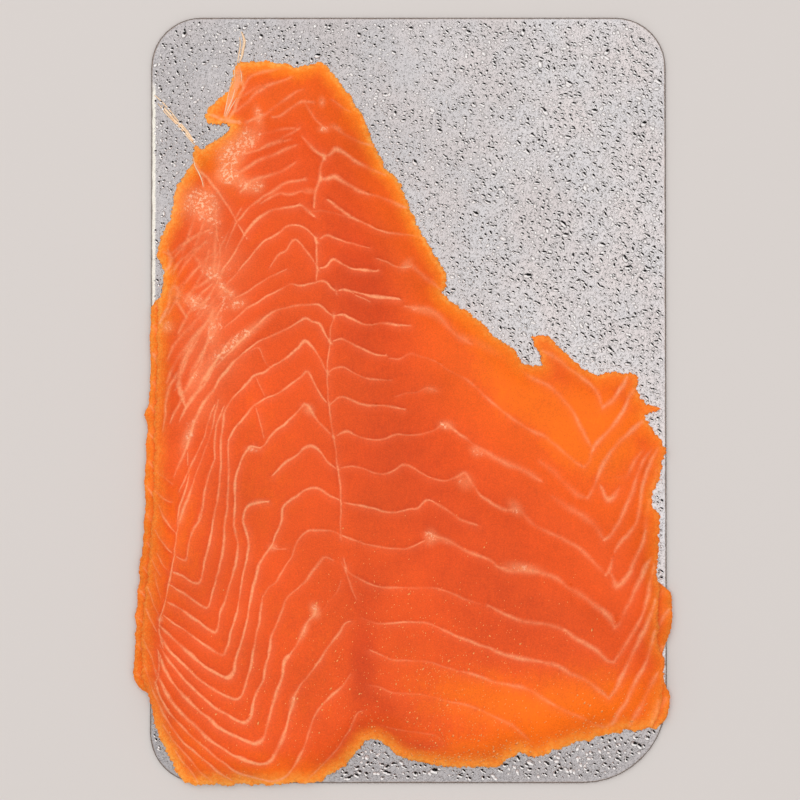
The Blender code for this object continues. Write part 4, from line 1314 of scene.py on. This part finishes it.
def beaded_water_material(name, dark):
    """Water on foil: a painted dark reflection on the far side of some drops and a painted highlight on
    the near side.
    """
    material, make, shader = new_material(name)
    coords = make.object_coords()
    normal = make.add("ShaderNodeNewGeometry", output=1)
    uneven = make.times(make.swing(coords, 900, 2), 0.5)
    # Painted highlight where a drop's normal faces the near way, painted dark reflection where it faces
    # the far way.
    far, near = (
        make.plus(uneven, make.add(
            "ShaderNodeVectorMath", {0: normal, 1: way}, output=1, operation="DOT_PRODUCT"
        ))
        for way in ((0.26, 0.58, 0.77), (-0.30, -0.58, 0.76))
    )
    kind = make.ramp(make.noise(coords, 300, 1), 0.40, 0.46)
    clear = make.mix(make.ramp(near, 0.64, 0.72), colour4(DROP_GREY), colour4(DROP_PAINTED_HIGHLIGHT))
    spot = make.times(make.ramp(far, 0.70, 0.76), kind)
    shade = make.mix(spot, clear, colour4(dark))
    material.node_tree.links.new(shade, shader.inputs["Base Color"])
    wet(shader, 0.12, 0.2)
    return material


DRY_MARGIN = 1.2 * MM  # the strip along the board's edge that stays free of drops
LOWER_FOIL = -105 * MM  # below this the foil is wetter
DROP_LEAN = math.radians(-38)  # which way the drops are drawn out on the right
LEFT_LEAN = math.radians(85)  # and on the left
# The drops' grey body, their painted highlight and the painted dark reflections of drops and mist.
DROP_GREY = (0.57, 0.535, 0.53)
DROP_PAINTED_HIGHLIGHT = (0.95, 0.92, 0.91)
DROP_PAINTED_DARK_REFLECTION = (0.006, 0.005, 0.005)
MIST_PAINTED_DARK_REFLECTION = (0.07, 0.065, 0.065)
# Where the foil is nearly dry: middle, half sizes, tilt and strength.
BARE_PATCHES = ((-0.5, 105, 5, 7, 0, 1.0), (-63, 105, 7, 8, 0, 0.8), (-3, 112, 9, 3, 0, 0.8),
                (-80, 60, 4, 16, 0, 0.7))


def board_spots(step, seed, clearance):
    """Jittered places on the open foil, with their distance from the fish."""
    rng = random.Random(seed)
    rim = CadSlice("slice_top").rim
    half = np.array(BOARD_HIGH.xy) - DRY_MARGIN
    spots = []
    y = -half[1]
    while y < half[1]:
        x = -half[0]
        while x < half[0]:
            spots.append([place + rng.uniform(-0.5, 0.5) * step for place in (x, y)])
            x += step
        y += step
    spots = np.array(spots)
    away = -distance_inside(spots, rim)
    keep = (away > clearance) & (np.abs(spots) < half).all(1)
    for side in ((-1, 1), (1, 1), (-1, -1), (1, -1)):
        radius = WIDE_CORNER if side == (1, -1) else CORNER
        offset = (spots - side * (half - radius)) * side
        keep &= (offset <= 0).any(1) | (np.linalg.norm(offset, axis=1) <= radius)
    return spots[keep], away[keep]


def foil_drop(place, size, stretch, height, turn):
    """One drop on the foil, sunk a little into it, from sizes in millimetres."""
    return (*place, BOARD_HIGH.z - 0.02 * MM, size * stretch * MM, size * MM, height, turn)


def large_drops(settings, rng):
    """The larger drops: denser away from the fish, and bigger on the lower and right-hand foil."""
    drops = []
    spots, away = board_spots(settings.drop_step, settings.seed, 1.2 * MM)
    for (x, y), far, bald in zip(spots, away, patches(spots, BARE_PATCHES)):
        right = float(smooth_step(x / (60 * MM))) * float(smooth_step((y + 20 * MM) / (40 * MM)))
        chance = 0.70 + 0.06 * float(smooth_step((far - 4 * MM) / (25 * MM)))
        chance += 0.24 if y < LOWER_FOIL else 0.0
        if rng.random() > chance * (1 - 0.9 * min(1, bald)):
            continue
        size = rng.uniform(0.36, 0.62) + 0.06 * right * rng.random()
        size *= 1.2 if y < LOWER_FOIL else 1.0
        size *= 1.5 if rng.random() < 0.04 else 1.0
        stretch = rng.uniform(1.0, 1.7) + right * rng.uniform(0, 0.4)
        east = float(smooth_step((x + 70 * MM) / (90 * MM)))
        turn = LEFT_LEAN + (DROP_LEAN - LEFT_LEAN) * east + rng.gauss(0, 0.6)
        height = size * rng.uniform(0.75, 1.1) * MM
        drops.append(foil_drop((x, y), size, stretch, height, turn))
    return drops


def fine_drops(settings, rng):
    """The mist of fine drops between the larger ones."""
    drops = []
    spots, _ = board_spots(settings.mist_step, settings.seed + 1, 0.5 * MM)
    for place, bald in zip(spots, patches(spots, BARE_PATCHES)):
        if rng.random() > 0.72 * (1 - 0.75 * min(1, bald)):
            continue
        size = rng.uniform(0.17, 0.35)
        stretch = rng.uniform(1.0, 1.8)
        turn = DROP_LEAN + rng.gauss(0, 0.9)
        height = size * rng.uniform(0.4, 0.95) * MM
        drops.append(foil_drop(place, size, stretch, height, turn))
    return drops


class SALMON_OT_condensation(bpy.types.Operator):
    """Cover the open foil with drops"""

    bl_idname = "salmon.condensation"
    bl_label = "Condensation"

    def execute(self, context):
        settings = context.scene.salmon_moisture
        water = beaded_water_material("beaded_water", DROP_PAINTED_DARK_REFLECTION)
        haze = beaded_water_material("beaded_mist", MIST_PAINTED_DARK_REFLECTION)
        rng = random.Random(settings.seed)
        drops = large_drops(settings, rng)
        large = join_drops("condensation_drops", drop_template(8, 2), drops, water)
        drops = fine_drops(settings, rng)
        fine = join_drops("condensation_mist", drop_template(6, 1), drops, haze)
        for piece in (large, fine):
            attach(piece, BODY)
        return {"FINISHED"}


# Each thread's radius and route in millimetres.
THREADS = (
    # the torn ribbon of skin that hangs from the shoulder over the foil: two strands and a middle
    (0.24, ((-81.4, 97.6), (-79.2, 95.6), (-76.8, 93.0), (-74.6, 90.2), (-72.6, 88.0), (-70.6, 85.6),
            (-68.4, 82.0))),
    (0.22, ((-80.4, 95.0), (-79.4, 93.8), (-77.6, 91.5), (-75.5, 89.4), (-73.1, 86.9), (-71.2, 84.6),
            (-69.6, 82.8), (-68.2, 81.2))),
    (0.36, ((-79.2, 94.4), (-77.2, 92.2), (-75.2, 89.8), (-72.8, 87.4), (-70.8, 85.0), (-69.2, 82.8))),
    # strands at the narrow end
    (0.44, ((-53.6, 118.0), (-52.9, 116.3), (-52.6, 114.4), (-53.0, 112.5), (-53.4, 110.4),
            (-54.2, 107.8))),
    (0.24, ((-54.2, 116.2), (-53.9, 114.4), (-54.1, 112.2), (-54.5, 109.9), (-54.9, 107.8))),
    # whitish fibres of film over the notch
    (0.13, ((-55.3, 108.2), (-55.7, 104.8), (-55.4, 102.0))),
    (0.15, ((-53.8, 105.4), (-53.4, 103.6), (-53.5, 101.6))),
    (0.12, ((-56.0, 102.2), (-57.2, 99.7), (-57.8, 96.8), (-58.2, 94.6), (-59.0, 90.8))),
    (0.15, ((-55.5, 99.4), (-56.5, 95.8), (-57.6, 93.3), (-58.6, 90.6))),
    (0.12, ((-54.9, 96.5), (-56.8, 93.3), (-58.0, 91.0))),
    # the thread goes on over the flesh
    (0.19, ((-68.9, 77.6), (-68.3, 74.8), (-66.9, 72.2), (-65.9, 69.9), (-65.3, 67.6))),
)
THREAD_STEP = 0.8 * MM  # distance between a thread's rings


def add_thread(form, radius, path, fish):
    """A closed thread that lies on the fish or the board and is thinner over its last rings."""
    rows = []
    for i, (x, y) in enumerate(path):
        floor = top_at([fish], x, y)
        ends = min(i, len(path) - 1 - i)
        size = radius * (0.45 + 0.55 * min(1, ends / 3))
        rows.append(thread_ring(form, Vector((x, y, floor + size * 0.6)), path, i, size))
    for before, after in zip(rows, rows[1:]):
        bmesh.ops.bridge_loops(form, edges=ring_edges(before) + ring_edges(after))
    for ring in (rows[0], rows[-1]):
        bmesh.ops.contextual_create(form, geom=ring_edges(ring))


def thread_ring(form, place, path, index, size, sides=6):
    """A flattened ring of vertices across a thread's path."""
    ahead = path[min(index + 1, len(path) - 1)] - path[max(index - 1, 0)]
    turn = Vector((ahead[0], ahead[1], 0)).normalized()
    across = Vector((-turn.y, turn.x, 0))
    ring = []
    for k in range(sides):
        angle = math.tau * k / sides
        offset = across * math.cos(angle) * size + Vector((0, 0, math.sin(angle) * size * 0.7))
        ring.append(form.verts.new(place + offset))
    for k in range(sides):
        form.edges.new((ring[k], ring[(k + 1) % sides]))
    return ring


def ring_edges(ring):
    members = set(ring)
    return [e for e in {e for v in ring for e in v.link_edges} if set(e.verts) <= members]


class SALMON_OT_threads(bpy.types.Operator):
    """Lay the torn threads of skin"""

    bl_idname = "salmon.threads"
    bl_label = "Threads"

    def execute(self, context):
        material, make, shader = new_material("torn_skin")
        coords = make.object_coords()
        shade = make.mix(make.noise(coords, 300, 3), (0.88, 0.48, 0.22, 1), (0.95, 0.80, 0.60, 1))
        material.node_tree.links.new(shade, shader.inputs["Base Color"])
        shader.inputs["Roughness"].default_value = 0.35
        fish = surface_of("salmon_top")
        form = bmesh.new()
        for radius, points in THREADS:
            add_thread(form, radius * MM, catmull_rom(points, THREAD_STEP), fish)
        bmesh.ops.recalc_face_normals(form, faces=form.faces)
        piece = new_piece("skin_threads", finished_mesh("skin_threads", form), material)
        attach(piece, BODY)
        return {"FINISHED"}


# Where drops stand on the fish: middle, half sizes, tilt and density.
FISH_DROPS = (
    (10, -92, 34, 26, 0, 0.8), (-12, -62, 16, 10, 0, 0.4), (30, -112, 14, 5, 10, 1.0),
    (60, -100, 16, 8, 10, 0.5), (10, -114, 16, 4, 0, 0.7), (-45, -100, 30, 18, 0, 0.25),
)
FISH_DROP_TRIES = 26000  # places that are tried for a drop
LOWER_FISH = -95 * MM  # below this the drops near the rim are larger
NEAR_RIM = 7 * MM


class SALMON_OT_fish_drops(bpy.types.Operator):
    """Scatter small drops and bubbles over the damp parts of the top slice"""

    bl_idname = "salmon.fish_drops"
    bl_label = "Drops on the fish"

    def execute(self, context):
        settings = context.scene.salmon_moisture
        rng = random.Random(settings.seed + 5)
        fish = surface_of("salmon_top")
        rim = CadSlice("slice_top").rim
        span = list(zip(rim.min(0), rim.max(0)))
        spots = np.array([[rng.uniform(*ends) for ends in span] for _ in range(FISH_DROP_TRIES)])
        density = patches(spots, FISH_DROPS)
        inside = distance_inside(spots, rim)
        drops = []
        for (x, y), share, depth in zip(spots, density, inside):
            if depth < 0.8 * MM or rng.random() > share * 0.8:
                continue
            size = rng.uniform(0.09, 0.19) * (1.9 if rng.random() < 0.07 else 1) * MM
            size *= 1.35 if depth < NEAR_RIM and y < LOWER_FISH else 1.0
            length = size * rng.uniform(1, 2.4)
            foot = top_at([fish], x, y) - 0.03 * MM
            drops.append((x, y, foot, length, size, size * 0.5, rng.uniform(0.6, 1.4)))
        piece = join_drops("fish_drops", drop_template(6, 1), drops, glint_material())
        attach(piece, BODY)
        return {"FINISHED"}


def studio_world():
    """A soft sky, brighter overhead."""
    world = bpy.data.worlds.new("studio")
    world.use_nodes = True
    tree = world.node_tree
    tree.nodes.clear()
    make = Nodes(tree)
    direction = make.add("ShaderNodeTexCoord", output=0)
    parts = make.add("ShaderNodeSeparateXYZ", {0: direction}).node
    overhead = make.times(make.ramp(parts.outputs[2], 0.80, 0.92), 1.6)
    strength = make.math("MAXIMUM", overhead, 0.56)
    background = make.add("ShaderNodeBackground", {0: (1, 0.985, 0.97, 1), 1: strength})
    output = tree.nodes.new("ShaderNodeOutputWorld")
    tree.links.new(background, output.inputs[0])
    return world


class SALMON_OT_stage(bpy.types.Operator):
    """Add the floor, the light and the camera"""

    bl_idname = "salmon.stage"
    bl_label = "Stage"

    def execute(self, context):
        settings = context.scene.salmon_stage
        scene = context.scene
        scene.world = studio_world()
        scene.view_settings.view_transform = "Standard"

        form = bmesh.new()
        bmesh.ops.create_grid(form, x_segments=1, y_segments=1, size=2.5)
        material, _, shader = new_material("pale_floor")
        shader.inputs["Base Color"].default_value = colour4(settings.floor_colour)
        shader.inputs["Roughness"].default_value = 0.9
        floor = new_piece("floor", finished_mesh("floor", form), material)

        for name, place, size, power in (
            ("key", (-0.7, 0.6, 1.5), 1.3, 6.2),
            ("fill", (0.5, -0.3, 1.7), 1.4, 4.0),
        ):
            light = bpy.data.lights.new(name, "AREA")
            light.size = size
            light.energy = power
            lamp = bpy.data.objects.new(name, light)
            lamp.location = place
            lamp.rotation_euler = (-Vector(place)).to_track_quat("-Z", "Y").to_euler()
            scene.collection.objects.link(lamp)

        camera = bpy.data.cameras.new("camera")
        camera.sensor_width = 36
        camera.lens = camera.sensor_width * settings.camera_distance / settings.field_width
        eye = bpy.data.objects.new("camera", camera)
        aim = Vector((-2.7 * MM, -0.2 * MM, BOARD_HIGH.z))
        tilt = settings.camera_tilt
        eye.location = aim + settings.camera_distance * Vector((0, -math.sin(tilt), math.cos(tilt)))
        eye.rotation_euler = (tilt, 0, 0)
        scene.collection.objects.link(eye)
        scene.camera = eye
        return {"FINISHED"}


class SALMON_PT_panel(bpy.types.Panel):
    """Lists the steps in the sidebar"""

    bl_label = "Smoked salmon slices"
    bl_idname = "SALMON_PT_panel"
    bl_space_type = "VIEW_3D"
    bl_region_type = "UI"
    bl_category = "Salmon"

    def draw(self, context):
        for operator in OPERATORS:
            self.layout.operator(operator.bl_idname)


SETTINGS = {
    "salmon_flesh": FleshSettings,
    "salmon_board": BoardSettings,
    "salmon_moisture": MoistureSettings,
    "salmon_stage": StageSettings,
}
OPERATORS = (
    SALMON_OT_stage,
    SALMON_OT_board,
    SALMON_OT_under_slices,
    SALMON_OT_top_slice,
    SALMON_OT_condensation,
    SALMON_OT_threads,
    SALMON_OT_fish_drops,
)


def register():
    for group in SETTINGS.values():
        bpy.utils.register_class(group)
    for name, group in SETTINGS.items():
        setattr(bpy.types.Scene, name, PointerProperty(type=group))
    for operator in OPERATORS:
        bpy.utils.register_class(operator)
    bpy.utils.register_class(SALMON_PT_panel)


def unregister():
    bpy.utils.unregister_class(SALMON_PT_panel)
    for operator in reversed(OPERATORS):
        bpy.utils.unregister_class(operator)
    for name, group in SETTINGS.items():
        delattr(bpy.types.Scene, name)
        bpy.utils.unregister_class(group)


def main():
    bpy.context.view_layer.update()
    register()
    for operator in OPERATORS:
        getattr(bpy.ops.salmon, operator.bl_idname.split(".")[1])()


if __name__ == "__main__":
    main()
